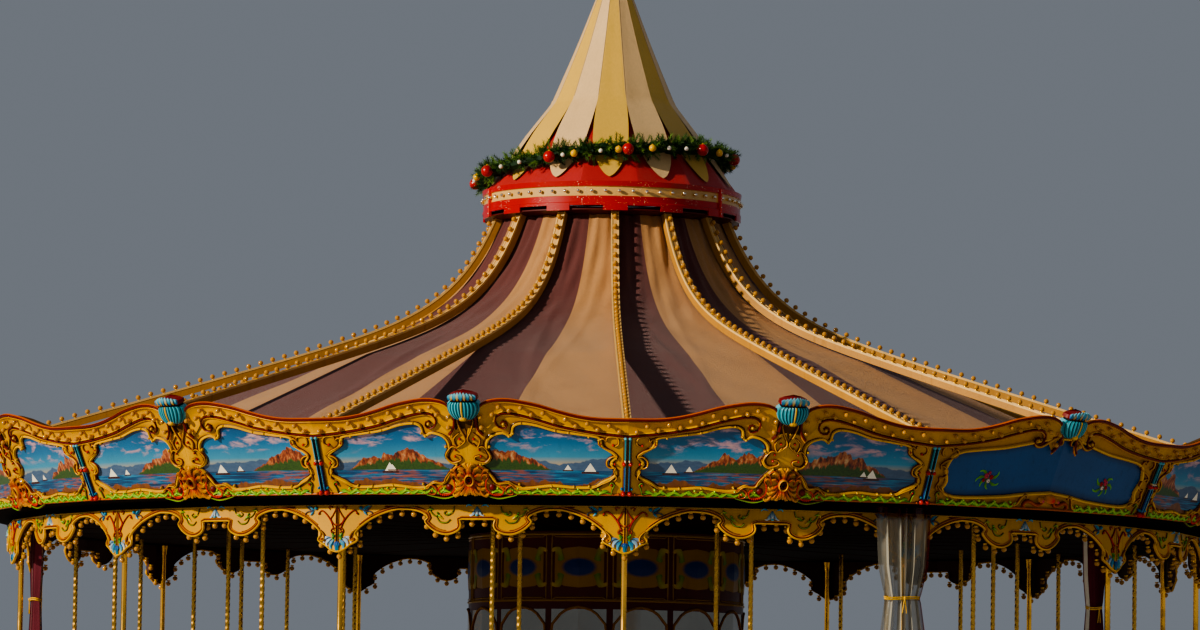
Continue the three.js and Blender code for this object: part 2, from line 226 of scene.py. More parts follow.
def repeated(patch, origins, axes=None, sizes=None):
    """Copies of a small patch: each point is the origin plus the axes times point times size."""
    count = len(origins)
    axes = np.broadcast_to(np.eye(3), (count, 3, 3)) if axes is None else axes
    sizes = np.ones(count) if sizes is None else np.broadcast_to(sizes, (count,))
    points = origins[:, None, :] + np.einsum("nij,pj->npi", axes, patch.points) * sizes[:, None, None]
    step = (np.arange(count) * len(patch.points))[:, None, None]
    finish = np.concatenate([np.tile(patch.finish[:len(patch.quads)], count),
                             np.tile(patch.finish[len(patch.quads):], count)])
    return Patch(points.reshape(-1, 3), (patch.quads[None] + step).reshape(-1, 4),
                 (patch.tris[None] + step).reshape(-1, 3), np.tile(patch.paint, (count, 1)),
                 np.tile(patch.place, (count, 1)), finish)


def curve_through(points, steps, closed=False):
    """Catmull-Rom curve: each span is a cubic of its two ends and their two neighbours. The
    result is spread evenly by length."""
    points = np.asarray(points, float)
    count = len(points)
    spans = count if closed else count - 1
    s = np.linspace(0, spans, 12 * count + 1)
    i = np.minimum(s.astype(int), spans - 1)
    f = (s - i)[:, None]
    if closed:
        a, b, c, d = (points[(i + k) % count] for k in (-1, 0, 1, 2))
    else:
        a, b, c, d = (points[np.clip(i + k, 0, count - 1)] for k in (-1, 0, 1, 2))
    fine = 0.5 * (2 * b + (c - a) * f + (2 * a - 5 * b + 4 * c - d) * f**2 + (3 * b - 3 * c + d - a) * f**3)
    length = run_length(fine)
    want = np.linspace(0, length[-1], steps, endpoint=not closed)
    return np.stack([np.interp(want, length, fine[:, k]) for k in range(fine.shape[1])], -1)


def scroll(start, end, first, last, bend, steps):
    """A carver's scroll from start to end: its heading turns evenly by bend turns and ever
    faster by first and last turns towards its two ends, while its pace slows there."""
    t = np.linspace(0, 1, steps)
    heading = TURN * (bend * (t - 0.5) + last * t**3 - first * (1 - t) ** 3)
    slow = 1 - 0.8 * (abs(last) > 0.2) * t**3 - 0.8 * (abs(first) > 0.2) * (1 - t) ** 3
    stride = stacked(np.cos(heading), np.sin(heading)) * slow[:, None]
    path = np.concatenate([[[0, 0]], np.cumsum(stride[1:] + stride[:-1], axis=0)])
    path = path[:, 0] + 1j * path[:, 1]
    start, end = complex(*start), complex(*end)
    path = start + path * (end - start) / path[-1]
    return stacked(path.real, path.imag)


def rail(path, width, rise, stand, paint, edge=None, sides=6, closed=False, groove=0.0, tip=None):
    """A half-round strip along a flat path of (x, height). Round its section the angle a runs
    once: the point lies cos a of the half width across the path and sin a of the rise over the
    ground, or a third as deep under it. A groove lowers the middle."""
    path = np.asarray(path, float)
    step = np.roll(path, -1, 0) - np.roll(path, 1, 0) if closed else np.gradient(path, axis=0)
    ahead = unit(step)
    across = stacked(-ahead[:, 1], ahead[:, 0])
    a = TURN * (np.arange(sides) + 0.5) / sides
    width = np.broadcast_to(width, len(path))[:, None]
    rise = np.broadcast_to(rise, len(path))[:, None]
    flat = path[:, None, :] + across[:, None, :] * (np.cos(a) * width)[..., None]
    up = np.where(np.sin(a) > 0, np.sin(a) * (1 - groove * np.exp(-(np.cos(a) / 0.4) ** 2)), 0.35 * np.sin(a))
    points = np.concatenate([flat, (stand + up * rise)[..., None]], -1)
    share = np.clip(1.3 * np.abs(np.cos(a)) ** 2, 0, 1)[None, :, None]
    shade = mix(paint, paint if edge is None else edge, share)
    if tip is not None:
        shade = mix(shade, tip, np.linspace(0, 1, len(path))[:, None, None] ** 1.5)
    return tube(points, shade, closed=closed)


def tapered(steps, low=0.35):
    """Full in the middle and low at both ends of a run."""
    return low + (1 - low) * np.sin(np.linspace(0, math.pi, steps)) ** 0.6


def leaf(start, end, width, rise, stand, bow, curl, paint, edge, tip, lobes=3, steps=13, sides=6):
    """An acanthus leaf: a strip along a bowed, curling midrib, whose half width swells and falls
    as sin(pi t) and ripples lobes times, with a groove down the middle."""
    path = scroll(start, end, 0.0, curl, bow, steps)
    t = np.linspace(0, 1, steps)
    half = width * (0.12 + np.sin(math.pi * t**0.8) ** 0.8 * (1 + 0.3 * np.cos(TURN * lobes * t + 2)))
    return rail(path, half, rise * (0.4 + np.sin(math.pi * t)), stand, paint, edge, sides, groove=0.45,
                tip=tip)


def ball(radius, rings, sides, paint, low=-0.5):
    """A ball about the origin: rings at latitudes from low, in half turns, up to its top."""
    lat = math.pi * np.linspace(low, 0.5, rings + 2)[1:-1][:, None]
    lon = round_angles(sides)
    body = tube(radius * stacked(np.cos(lat) * np.cos(lon), np.cos(lat) * np.sin(lon), np.sin(lat)), paint)
    body.points[-2] = [0, 0, radius * math.sin(math.pi * low)]
    body.points[-1] = [0, 0, radius]
    return body


def button(centre, radius, rise, stand, paint, edge, sides=8):
    """A round boss on a board at (x, height)."""
    a = round_angles(sides)
    lat = np.array([-0.25, 0.05, 0.25, 0.42])[:, None] * math.pi
    r = radius * np.cos(lat)
    points = stacked(centre[0] + r * np.cos(a), centre[1] + r * np.sin(a), stand + rise * np.sin(lat))
    return tube(points, mix(edge, paint, np.linspace(0, 1, 4)[:, None, None]))


def turned(profile, sides, paint):
    """A profile of (radius, height) carried round the axis; it closes on itself."""
    profile = np.asarray(profile, float)
    paint = np.asarray(paint)
    if paint.ndim == 2:
        paint = paint[:, None, :]
    points = polar(profile[:, :1], round_angles(sides), profile[:, 1:])
    return grid(points, paint, around=True, along=True)


def along_path(path, radius, sides, paint, closed=False, flat=1.0, finish=0, spin=None):
    """A round bar along a path in space, with rings square to it; flat squeezes it upwards."""
    path = np.asarray(path, float)
    step = np.roll(path, -1, 0) - np.roll(path, 1, 0) if closed else np.gradient(path, axis=0)
    ahead = unit(step)
    steady = np.array([0.0, 0.0, 1.0]) if abs(ahead[:, 2]).mean() < 0.8 else np.array([1.0, 0.0, 0.0])
    side = unit(np.cross(steady, ahead))
    up = np.cross(ahead, side)
    a = round_angles(sides)[None, :] + (0 if spin is None else np.asarray(spin)[:, None])
    radius = np.broadcast_to(radius, len(path))[:, None, None]
    points = path[:, None, :] + radius * (np.cos(a)[..., None] * side[:, None, :]
                                          + flat * np.sin(a)[..., None] * up[:, None, :])
    return tube(points, paint, closed=closed, finish=finish)


def piece(name, patch, finishes, body="turntable", stands_for=(), sharp=0.7):
    """Puts a patch into a mesh object with its paint, its places and its materials."""
    mesh = bpy.data.meshes.new(name)
    quads, tris = len(patch.quads), len(patch.tris)
    mesh.vertices.add(len(patch.points))
    mesh.vertices.foreach_set("co", patch.points.astype(np.float32).ravel())
    corners = np.concatenate([patch.quads.ravel(), patch.tris.ravel()]).astype(np.int32)
    mesh.loops.add(len(corners))
    mesh.loops.foreach_set("vertex_index", corners)
    starts = np.concatenate([np.arange(quads) * 4, quads * 4 + np.arange(tris) * 3]).astype(np.int32)
    mesh.polygons.add(quads + tris)
    mesh.polygons.foreach_set("loop_start", starts)
    mesh.polygons.foreach_set("material_index", patch.finish.astype(np.int32))
    mesh.polygons.foreach_set("use_smooth", np.ones(quads + tris, bool))
    mesh.update(calc_edges=True)
    paint = mesh.attributes.new("paint", "FLOAT_COLOR", "POINT")
    paint.data.foreach_set("color", np.concatenate([patch.paint, np.ones((len(patch.paint), 1))], 1)
                           .astype(np.float32).ravel())
    places = mesh.uv_layers.new(name="place")
    places.data.foreach_set("uv", patch.place[corners].astype(np.float32).ravel())
    for finish in finishes:
        mesh.materials.append(finish)
    mesh.set_sharp_from_angle(angle=sharp)
    thing = bpy.data.objects.new(name, mesh)
    bpy.context.scene.collection.objects.link(thing)
    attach(thing, body)
    if stands_for:
        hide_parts(*stands_for)
    return thing


class Nodes:
    """A short way to lay nodes and links in one tree."""

    def __init__(self, tree):
        self.tree = tree

    def add(self, kind, **values):
        node = self.tree.nodes.new(kind)
        for name, value in values.items():
            setattr(node, name, value)
        return node

    def put(self, value, socket):
        """Links or sets one input; a text is a colour code."""
        if isinstance(value, str):
            value = colour(value)
        if isinstance(value, bpy.types.NodeSocket):
            self.tree.links.new(value, socket)
        elif isinstance(value, (tuple, list, np.ndarray)):
            socket.default_value = [*value, 1.0][:len(socket.default_value)]
        else:
            socket.default_value = value

    def fill(self, node, values):
        """Links or sets the named inputs of a node."""
        for name, value in values.items():
            self.put(value, node.inputs[name])

    def spot(self):
        return self.add("ShaderNodeTexCoord").outputs["Object"]

    def paint(self):
        return self.add("ShaderNodeAttribute", attribute_name="paint").outputs["Color"]

    def calc(self, operation, first, second=0.0, third=0.0, clamp=False):
        node = self.add("ShaderNodeMath", operation=operation, use_clamp=clamp)
        for value, socket in zip((first, second, third), node.inputs):
            self.put(value, socket)
        return node.outputs[0]

    def plus(self, first, second):
        return self.calc("ADD", first, second)

    def minus(self, first, second, clamp=False):
        return self.calc("SUBTRACT", first, second, clamp=clamp)

    def times(self, first, second, clamp=False):
        return self.calc("MULTIPLY", first, second, clamp=clamp)

    def scaled(self, value, factor, start, clamp=False):
        return self.calc("MULTIPLY_ADD", value, factor, start, clamp)

    def vector(self, operation, first, second=(0, 0, 0)):
        node = self.add("ShaderNodeVectorMath", operation=operation)
        self.put(first, node.inputs[0])
        self.put(second, node.inputs[1])
        return node.outputs["Value" if operation in ("LENGTH", "DOT_PRODUCT") else "Vector"]

    def blend(self, share, first, second, kind="MIX"):
        node = self.add("ShaderNodeMix", data_type="RGBA", blend_type=kind)
        self.fill(node, {"Factor": share, "A": first, "B": second})
        return node.outputs["Result"]

    def tinted(self, first, second):
        return self.blend(1.0, first, second, "MULTIPLY")

    def band(self, value, low, high, clamp=True, to_low=0.0, to_high=1.0):
        node = self.add("ShaderNodeMapRange", interpolation_type="SMOOTHSTEP", clamp=clamp)
        for item, socket in zip((value, low, high, to_low, to_high), node.inputs):
            self.put(item, socket)
        return node.outputs[0]

    def noise(self, place, scale, detail, rough=0.55, twist=0.0):
        node = self.add("ShaderNodeTexNoise")
        self.fill(node, {"Vector": place, "Scale": scale, "Detail": detail, "Roughness": rough,
                         "Distortion": twist})
        return node.outputs["Fac"]

    def stretched(self, place, factors):
        return self.vector("MULTIPLY", place, factors)

    def ramp(self, value, stops):
        node = self.add("ShaderNodeValToRGB")
        marks = node.color_ramp.elements
        while len(marks) < len(stops):
            marks.new(0.5)
        for mark, (where, paint) in zip(marks, stops):
            mark.position = where
            mark.color = [*colour(paint), 1]
        self.put(value, node.inputs[0])
        return node.outputs[0]

    def bump(self, height, strength, distance):
        node = self.add("ShaderNodeBump")
        self.fill(node, {"Height": height, "Strength": strength, "Distance": distance})
        return node.outputs[0]


def node_group(name, inputs, outputs, lay):
    """A shader node group, built once by the function lay. The input without a default and the
    output Colour are colours, and all other sockets are numbers."""
    if name in bpy.data.node_groups:
        return bpy.data.node_groups[name]
    tree = bpy.data.node_groups.new(name, "ShaderNodeTree")
    for label, value in inputs.items():
        kind = "NodeSocketColor" if value is None else "NodeSocketFloat"
        socket = tree.interface.new_socket(label, in_out="INPUT", socket_type=kind)
        if value is not None:
            socket.default_value = value
    for label in outputs:
        kind = "NodeSocketColor" if label == "Colour" else "NodeSocketFloat"
        tree.interface.new_socket(label, in_out="OUTPUT", socket_type=kind)
    nodes = Nodes(tree)
    source = nodes.add("NodeGroupInput")
    target = nodes.add("NodeGroupOutput")
    results = lay(nodes, source.outputs)
    for label, value in results.items():
        nodes.put(value, target.inputs[label])
    return tree


def aged_paint():
    """Brushed paint out of doors: broad fading, fine grime in specks, rain streaks down the
    face, and rougher patches where the grime lies."""

    def lay(nodes, given):
        place = nodes.spot()
        fading = nodes.noise(place, 2.3, 4.0)
        specks = nodes.noise(place, 85.0, 5.0, 0.7)
        streaks = nodes.noise(nodes.stretched(place, (22, 22, 1.6)), 1.0, 4.0, 0.6)
        brush = nodes.noise(nodes.stretched(place, (1, 1, 0.35)), 160.0, 2.0)
        light = nodes.scaled(fading, 0.5, 0.76)
        faded = nodes.tinted(given["Paint"], light)
        soil = nodes.plus(nodes.band(specks, 0.52, 0.75), nodes.times(nodes.band(streaks, 0.52, 0.8), 0.7))
        mask = nodes.times(soil, given["Grime"], clamp=True)
        dirty = nodes.blend(mask, faded, nodes.tinted(faded, (0.3, 0.22, 0.15)))
        rough = nodes.scaled(mask, 0.35, given["Roughness"])
        rough = nodes.scaled(brush, 0.12, rough, clamp=True)
        height = nodes.scaled(specks, 0.4, nodes.times(brush, 0.8))
        return {"Colour": dirty, "Roughness": rough, "Height": height, "Grime mask": mask}

    return node_group("aged_paint", {"Paint": None, "Grime": 0.4, "Roughness": 0.35},
                      ("Colour", "Roughness", "Height", "Grime mask"), lay)


def weave():
    """Plain weave on a cloth's own places, in metres: warp and weft as two sets of waves, with
    slubs, soft creases and fading."""

    def lay(nodes, given):
        place = nodes.add("ShaderNodeUVMap", uv_map="place").outputs[0]
        spot = nodes.spot()
        parts = nodes.add("ShaderNodeSeparateXYZ")
        nodes.put(place, parts.inputs[0])
        warp = nodes.calc("SINE", nodes.times(parts.outputs[0], given["Threads"]))
        weft = nodes.calc("SINE", nodes.times(parts.outputs[1], given["Threads"]))
        slub = nodes.noise(nodes.stretched(spot, (1, 1, 0.3)), 60.0, 4.0)
        crease = nodes.noise(spot, 9.0, 5.0, 0.6, 1.2)
        fading = nodes.noise(spot, 1.1, 3.0)
        fine = nodes.times(nodes.times(warp, weft), 0.25)
        height = nodes.plus(nodes.scaled(slub, 0.6, fine), nodes.times(crease, 2.2))
        light = nodes.plus(nodes.scaled(fading, 0.3, 0.72), nodes.times(slub, 0.24))
        stain = nodes.band(nodes.noise(nodes.stretched(spot, (1, 1, 0.4)), 3.4, 6.0, 0.7), 0.5, 0.85)
        shade = nodes.tinted(given["Cloth"], light)
        stained = nodes.blend(nodes.times(stain, given["Stains"]), shade,
                              nodes.tinted(shade, (0.55, 0.45, 0.36)))
        return {"Colour": stained, "Height": height}

    return node_group("weave", {"Cloth": None, "Threads": 2500.0, "Stains": 0.4}, ("Colour", "Height"), lay)


def material(name):
    """An empty node material and its shader."""
    made = bpy.data.materials.new(name)
    made.use_nodes = True
    nodes = Nodes(made.node_tree)
    shader = made.node_tree.nodes["Principled BSDF"]
    return made, nodes, shader


def painted(name, roughness, grime, coat, metallic=0.0, bump=0.15, paint=None, flecks=False, shine=0.25):
    """Painted carving or board: the paint attribute of the piece, aged."""
    made, nodes, shader = material(name)
    group = nodes.add("ShaderNodeGroup", node_tree=aged_paint())
    nodes.fill(group, {"Paint": nodes.paint() if paint is None else paint, "Grime": grime,
                       "Roughness": roughness})
    tone = group.outputs["Colour"]
    if flecks:
        place = nodes.spot()
        speck = nodes.band(nodes.noise(place, 90.0, 0.0), 0.735, 0.76)
        area = nodes.band(nodes.noise(place, 4.0, 2.0), 0.45, 0.6)
        tone = nodes.blend(nodes.times(speck, area), tone, (0.85, 0.62, 0.42))
    nodes.fill(shader, {
        "Base Color": tone, "Roughness": group.outputs["Roughness"],
        "Normal": nodes.bump(group.outputs["Height"], bump, 0.004), "Metallic": metallic,
        "Specular IOR Level": shine, "Coat Weight": coat, "Coat Roughness": 0.12})
    return made


def cloth(name, stains, roughness, bump, threads=2500.0):
    """Woven cloth in the piece's own paint."""
    made, nodes, shader = material(name)
    group = nodes.add("ShaderNodeGroup", node_tree=weave())
    nodes.fill(group, {"Cloth": nodes.paint(), "Threads": threads, "Stains": stains})
    nodes.fill(shader, {
        "Base Color": group.outputs["Colour"], "Roughness": roughness, "Sheen Weight": 0.15,
        "Normal": nodes.bump(group.outputs["Height"], bump, 0.006)})
    return made


def brass():
    """Worn brass: tarnish in soft clouds and fine scratches round the tube."""
    made, nodes, shader = material("worn_brass")
    place = nodes.spot()
    clouds = nodes.band(nodes.noise(place, 6.0, 5.0, 0.65), 0.45, 0.8)
    scratch = nodes.noise(nodes.stretched(place, (40, 40, 3)), 6.0, 3.0)
    nodes.fill(shader, {
        "Base Color": nodes.blend(clouds, (0.86, 0.5, 0.1), (0.46, 0.25, 0.06)), "Metallic": 1.0,
        "Roughness": nodes.scaled(clouds, 0.3, nodes.scaled(scratch, 0.15, 0.16)),
        "Normal": nodes.bump(scratch, 0.08, 0.002)})
    return made


def globe_glass():
    """The amber globe of a lamp, dusty in soft specks."""
    made, nodes, shader = material("clear_globe")
    dust = nodes.band(nodes.noise(nodes.spot(), 130.0, 3.0), 0.45, 0.8)
    nodes.fill(shader, {
        "Base Color": nodes.blend(dust, (0.66, 0.32, 0.045), (0.34, 0.155, 0.025)),
        "Roughness": nodes.scaled(dust, 0.2, 0.04), "Transmission Weight": 0.25, "IOR": 1.45})
    return made


def clear_sheet():
    """Creased clear sheeting: grey, glossy and a little milky in its folds."""
    made, nodes, shader = material("clear_sheeting")
    place = nodes.spot()
    milk = nodes.noise(nodes.stretched(place, (7, 7, 0.9)), 1.2, 5.0, 0.6, 0.6)
    crease = nodes.noise(nodes.stretched(place, (2, 2, 0.7)), 6.0, 5.0, 0.55, 1.2)
    tone = nodes.blend(milk, (0.34, 0.35, 0.34), (0.62, 0.62, 0.6))
    nodes.fill(shader, {
        "Base Color": nodes.tinted(tone, nodes.paint()), "Specular IOR Level": 0.8,
        "Alpha": nodes.band(milk, 0.3, 0.75, True, 0.5, 0.82),
        "Roughness": nodes.scaled(milk, 0.2, 0.1), "Normal": nodes.bump(crease, 0.35, 0.02)})
    return made


def painted_view():
    """A generic painted lake view on the panel's own places: the whole part of u numbers the
    panel and the rest runs over it. Sky with rosy clouds, blue hills, red cliffs with dark
    trees on one side, small sails on the other, streaked water and a brown bank."""
    made, nodes, shader = material("painted_view")
    parts = nodes.add("ShaderNodeSeparateXYZ")
    nodes.put(nodes.add("ShaderNodeUVMap", uv_map="place").outputs[0], parts.inputs[0])
    u, v = nodes.calc("FRACT", parts.outputs[0]), parts.outputs[1]
    number = nodes.calc("FLOOR", parts.outputs[0])

    def spot(wide, high):
        made_of = nodes.add("ShaderNodeCombineXYZ")
        for value, socket in zip(((u, wide), (v, high), (number, 5.3)), made_of.inputs):
            nodes.put(nodes.times(*value), socket)
        return made_of.outputs[0]

    def grain(wide, high, detail=4.0, *more):
        return nodes.noise(spot(wide, high), 1.0, detail, *more)

    def under(line, edge=0.01):
        return nodes.band(nodes.minus(line, v), -edge, edge)

    def hump(middle, half):
        reach = nodes.calc("DIVIDE", nodes.minus(u, middle), half)
        return nodes.minus(1.0, nodes.times(reach, reach), clamp=True)

    wave = nodes.calc("SINE", nodes.scaled(number, 2.4, 0.5))
    side = nodes.calc("MAXIMUM", nodes.calc("MINIMUM", nodes.times(wave, 1.7), 1.0), -1.0)
    sky = nodes.ramp(v, [(0.36, "#a8987f"), (0.48, "#3a86a6"), (0.7, "#176591"), (1.0, "#0b4173")])
    clouds = nodes.band(grain(5.0, 6.5, 7.0, 0.6, 0.4), 0.5, 0.64)
    rosy = nodes.blend(grain(12, 12), "#8a6488", "#d9b3ae")
    view = nodes.blend(nodes.times(clouds, nodes.band(v, 0.5, 0.66)), sky, rosy)
    hills = nodes.scaled(grain(4, 0), 0.34, 0.24)
    view = nodes.blend(under(hills), view, nodes.blend(grain(20, 30), "#27466a", "#536a86"))
    # Cliffs with upright cracks stand round a middle that changes from panel to panel
    mass = hump(nodes.scaled(side, 0.36, 0.5), 0.42)
    rough = grain(9, 0, 3.0, 0.5)
    cliff_top = nodes.scaled(mass, nodes.scaled(rough, 0.62, 0.06), 0.2)
    cracks = grain(34, 7, 5.0, 0.65)
    rock = nodes.ramp(cracks, [(0.34, "#2e1209"), (0.47, "#7d3418"), (0.57, "#ad6534"), (0.72, "#cfa878")])
    view = nodes.blend(under(cliff_top, 0.006), view, rock)
    shore = nodes.scaled(mass, nodes.scaled(grain(26, 0, 6.0, 0.75), 0.42, -0.02), 0.24)
    leaves = nodes.blend(grain(60, 40), "#041a0c", "#3f6418")
    view = nodes.blend(under(shore, 0.012), view, leaves)
    streaks = grain(4, 60, 5.0)
    water = nodes.ramp(streaks, [(0.3, "#04203e"), (0.5, "#0d4470"), (0.64, "#2b7ba2"), (0.8, "#7fb0b8")])
    glow = nodes.times(nodes.band(grain(9, 34), 0.45, 0.6), mass)
    water = nodes.blend(nodes.times(glow, 0.75), water, "#9c4a1c")
    view = nodes.blend(under(0.27, 0.004), view, water)
    # Two boats on the free side: a triangle of white over a short dark hull
    for shift, foot, tall in ((0.3, 0.235, 0.15), (0.14, 0.265, 0.09)):
        middle = nodes.scaled(side, -shift, 0.5)
        rise = nodes.calc("DIVIDE", nodes.minus(v, foot), tall)
        reach = nodes.calc("DIVIDE", nodes.calc("ABSOLUTE", nodes.minus(u, middle)), 0.32 * tall)
        sail = nodes.times(nodes.calc("LESS_THAN", nodes.plus(rise, reach), 1.0),
                           nodes.calc("GREATER_THAN", rise, 0.12))
        hull = nodes.times(nodes.calc("LESS_THAN", nodes.calc("ABSOLUTE", rise), 0.1),
                           nodes.calc("LESS_THAN", reach, 1.3))
        view = nodes.blend(sail, view, "#efe6d2")
        view = nodes.blend(hull, view, "#3a120a")
    bank = nodes.scaled(grain(5, 0), 0.5, -0.16)
    view = nodes.blend(under(bank), view, nodes.blend(cracks, "#2c1208", "#9a5a22"))
    group = nodes.add("ShaderNodeGroup", node_tree=aged_paint())
    nodes.fill(group, {"Paint": view, "Grime": 0.2, "Roughness": 0.42})
    nodes.fill(shader, {
        "Base Color": group.outputs["Colour"], "Roughness": group.outputs["Roughness"],
        "Normal": nodes.bump(group.outputs["Height"], 0.2, 0.003), "Coat Weight": 0.1})
    return made


def planks():
    """Worn deck boards that run from post to post: each bay is turned to its own middle, and
    joints lie every board width across it."""
    made, nodes, shader = material("deck_planks")
    place = nodes.spot()
    parts = nodes.add("ShaderNodeSeparateXYZ")
    nodes.put(place, parts.inputs[0])
    x, y = parts.outputs[0], parts.outputs[1]
    angle = nodes.calc("ARCTAN2", x, nodes.times(y, -1.0))
    bay = nodes.calc("FLOOR", nodes.calc("DIVIDE", angle, BAY))
    middle = nodes.times(nodes.plus(bay, 0.5), BAY)
    turn = nodes.minus(angle, middle)
    radius = nodes.vector("LENGTH", nodes.stretched(place, (1, 1, 0)))
    across = nodes.times(radius, nodes.calc("COSINE", turn))
    along = nodes.times(radius, nodes.calc("SINE", turn))
    board = nodes.calc("DIVIDE", across, 0.145)
    number = nodes.calc("FLOOR", board)
    edge = nodes.calc("ABSOLUTE", nodes.minus(nodes.calc("FRACT", board), 0.5))
    joint = nodes.band(edge, 0.465, 0.5)
    turned_place = nodes.add("ShaderNodeCombineXYZ")
    nodes.put(along, turned_place.inputs[0])
    nodes.put(nodes.times(across, 16.0), turned_place.inputs[1])
    nodes.put(nodes.scaled(number, 3.7, nodes.times(bay, 9.1)), turned_place.inputs[2])
    grain = nodes.noise(turned_place.outputs[0], 3.0, 7.0, 0.62, 0.4)
    tone = nodes.blend(grain, "#5b3b22", "#a57a4c")
    wear = nodes.band(nodes.noise(place, 1.7, 6.0, 0.6), 0.4, 0.75)
    tone = nodes.blend(nodes.times(wear, 0.5), tone, "#8b7a66")
    height = nodes.minus(nodes.times(grain, 0.3), joint)
    nodes.fill(shader, {
        "Base Color": nodes.blend(joint, tone, "#1a110b"),
        "Roughness": nodes.scaled(grain, 0.3, 0.45), "Normal": nodes.bump(height, 0.6, 0.006)})
    return made


MATERIALS = {}


def finish_of(name):
    """A material, made when it is first asked for."""
    makers = {
        "board_paint": lambda: painted("board_paint", 0.38, 0.38, 0.1, bump=0.2),
        "rib_enamel": lambda: painted("rib_enamel", 0.42, 0.5, 0.08),
        "crown_enamel": lambda: painted("crown_enamel", 0.26, 0.3, 0.35, bump=0.1, flecks=True),
        "horse_enamel": lambda: painted("horse_enamel", 0.24, 0.22, 0.6, bump=0.08),
        "matt_boards": lambda: painted("matt_boards", 0.8, 0.5, 0.0, bump=0.3, shine=0.03),
        "frame_steel": lambda: painted("frame_steel", 0.5, 0.7, 0.0, 0.35, 0.3, (0.16, 0.17, 0.18)),
        "gilding": lambda: painted("gilding", 0.22, 0.25, 0.3, 0.85, 0.08),
        "lamp_cap": lambda: painted("lamp_cap", 0.3, 0.3, 0.2, 0.6),
        "mirror_glass": lambda: painted("mirror_glass", 0.05, 0.12, 0.0, 1.0, 0.02),
        "fir_needles": lambda: painted("fir_needles", 0.6, 0.3, 0.0, bump=0.2),
        "worn_brass": brass,
        "clear_globe": globe_glass,
        "clear_sheeting": clear_sheet,
        "painted_view": painted_view,
        "deck_planks": planks,
        "top_canvas": lambda: cloth("top_canvas", 0.45, 0.8, 0.5),
        "crown_cloth": lambda: cloth("crown_cloth", 0.3, 0.55, 0.3),
        "curtain_cloth": lambda: cloth("curtain_cloth", 0.2, 0.7, 0.25, 1800.0),
    }
    if name not in MATERIALS:
        MATERIALS[name] = makers[name]()
    return MATERIALS[name]


def finishes(*names):
    """Several materials in their order."""
    return [finish_of(name) for name in names]


# Carved cornice. A board place is (x from the ridge, height over the foot, out of the face).
PANEL_EDGE = np.array([
    (0.934, 0.509), (0.926, 0.558), (0.868, 0.587), (0.745, 0.575), (0.58, 0.529), (0.399, 0.504),
    (0.235, 0.476), (0.21, 0.409), (0.119, 0.351), (0.095, 0.318), (0.136, 0.269), (0.095, 0.211),
    (0.103, 0.161), (0.202, 0.112), (0.276, 0.07), (0.44, 0.066), (0.621, 0.079), (0.811, 0.058),
    (0.918, 0.066), (0.992, 0.103), (1.074, 0.095), (1.14, 0.178), (1.206, 0.244), (1.148, 0.269),
    (1.119, 0.318), (1.148, 0.38), (1.14, 0.442), (1.091, 0.488), (1.008, 0.509), (0.959, 0.484)])
PANEL_MIDDLE = np.array([0.63, 0.29])
PICTURE_STAND = 0.011
CREST = np.array([
    (0, 0.64), (0.235, 0.645), (0.399, 0.666), (0.564, 0.707), (0.728, 0.757), (0.893, 0.79),
    (0.975, 0.798), (1.058, 0.794), (1.14, 0.773), (1.189, 0.732), (1.214, 0.682), (1.218, 0.624),
    (1.206, 0.558), (1.165, 0.509)])
CREST_SCALE = 0.985
LOWER_RAIL = np.array([
    (0, 0.492), (0.235, 0.517), (0.399, 0.542), (0.564, 0.575), (0.728, 0.624), (0.893, 0.666),
    (0.992, 0.674), (1.049, 0.649), (1.062, 0.6), (1.033, 0.558), (0.983, 0.554), (0.967, 0.591),
    (1.0, 0.612), (1.02, 0.591)])
SIGN_UNITS = (1, 8)
LAMP_STEP = 0.175


def crest_height(x):
    """Upper edge of a board; past the volute it falls to the valley post."""
    line = np.concatenate([CREST[:9] * [1, CREST_SCALE], [(1.19, 0.7), (BOARD_HALF, 0.665)]])
    return np.interp(x, line[:, 0], line[:, 1])


def lower_height(x):
    """Height of the lower rail; past its volute it falls to the valley post."""
    line = np.concatenate([LOWER_RAIL[:7], [(1.06, 0.62), (1.17, 0.5), (BOARD_HALF, 0.49)]])
    return np.interp(x, line[:, 0], line[:, 1])


def on_face(half, face, lean=0.0, foot=0.0):
    """Law from places on half a bay's face to the ride: x from the ridge or post, height over
    the foot, and out of the face. The share u = x / half width mixes the circle at the ridge
    with the circle at the valley; a leaning face grows by lean in radius a metre of height,
    and out is square to it."""
    ridge = (half + half % 2) / 2 * BAY
    valley = (half // 2 + 0.5) * BAY
    width = face_width(face)
    tilt = math.atan(lean)

    def law(points):
        radius = face + lean * points[:, 1] + points[:, 2] * math.cos(tilt)
        height = foot + points[:, 1] - points[:, 2] * math.sin(tilt)
        u = (points[:, 0] / width)[:, None]
        return mix(polar(radius, ridge, height), polar(radius, valley, height), u)

    return law


def put_on(patch, law, half):
    """A half's patch put through its law; every second half is a mirror image."""
    moved = patch.moved(law)
    return moved.flipped() if half % 2 else moved


def star_ring(line, angles):
    """Distance from the panel's middle to a closed line in each direction."""
    fine = curve_through(line, 12 * len(line), closed=True) - PANEL_MIDDLE
    turn = np.arctan2(fine[:, 1], fine[:, 0])
    order = np.argsort(turn)
    return np.interp(angles, turn[order], np.linalg.norm(fine, axis=1)[order], period=TURN)


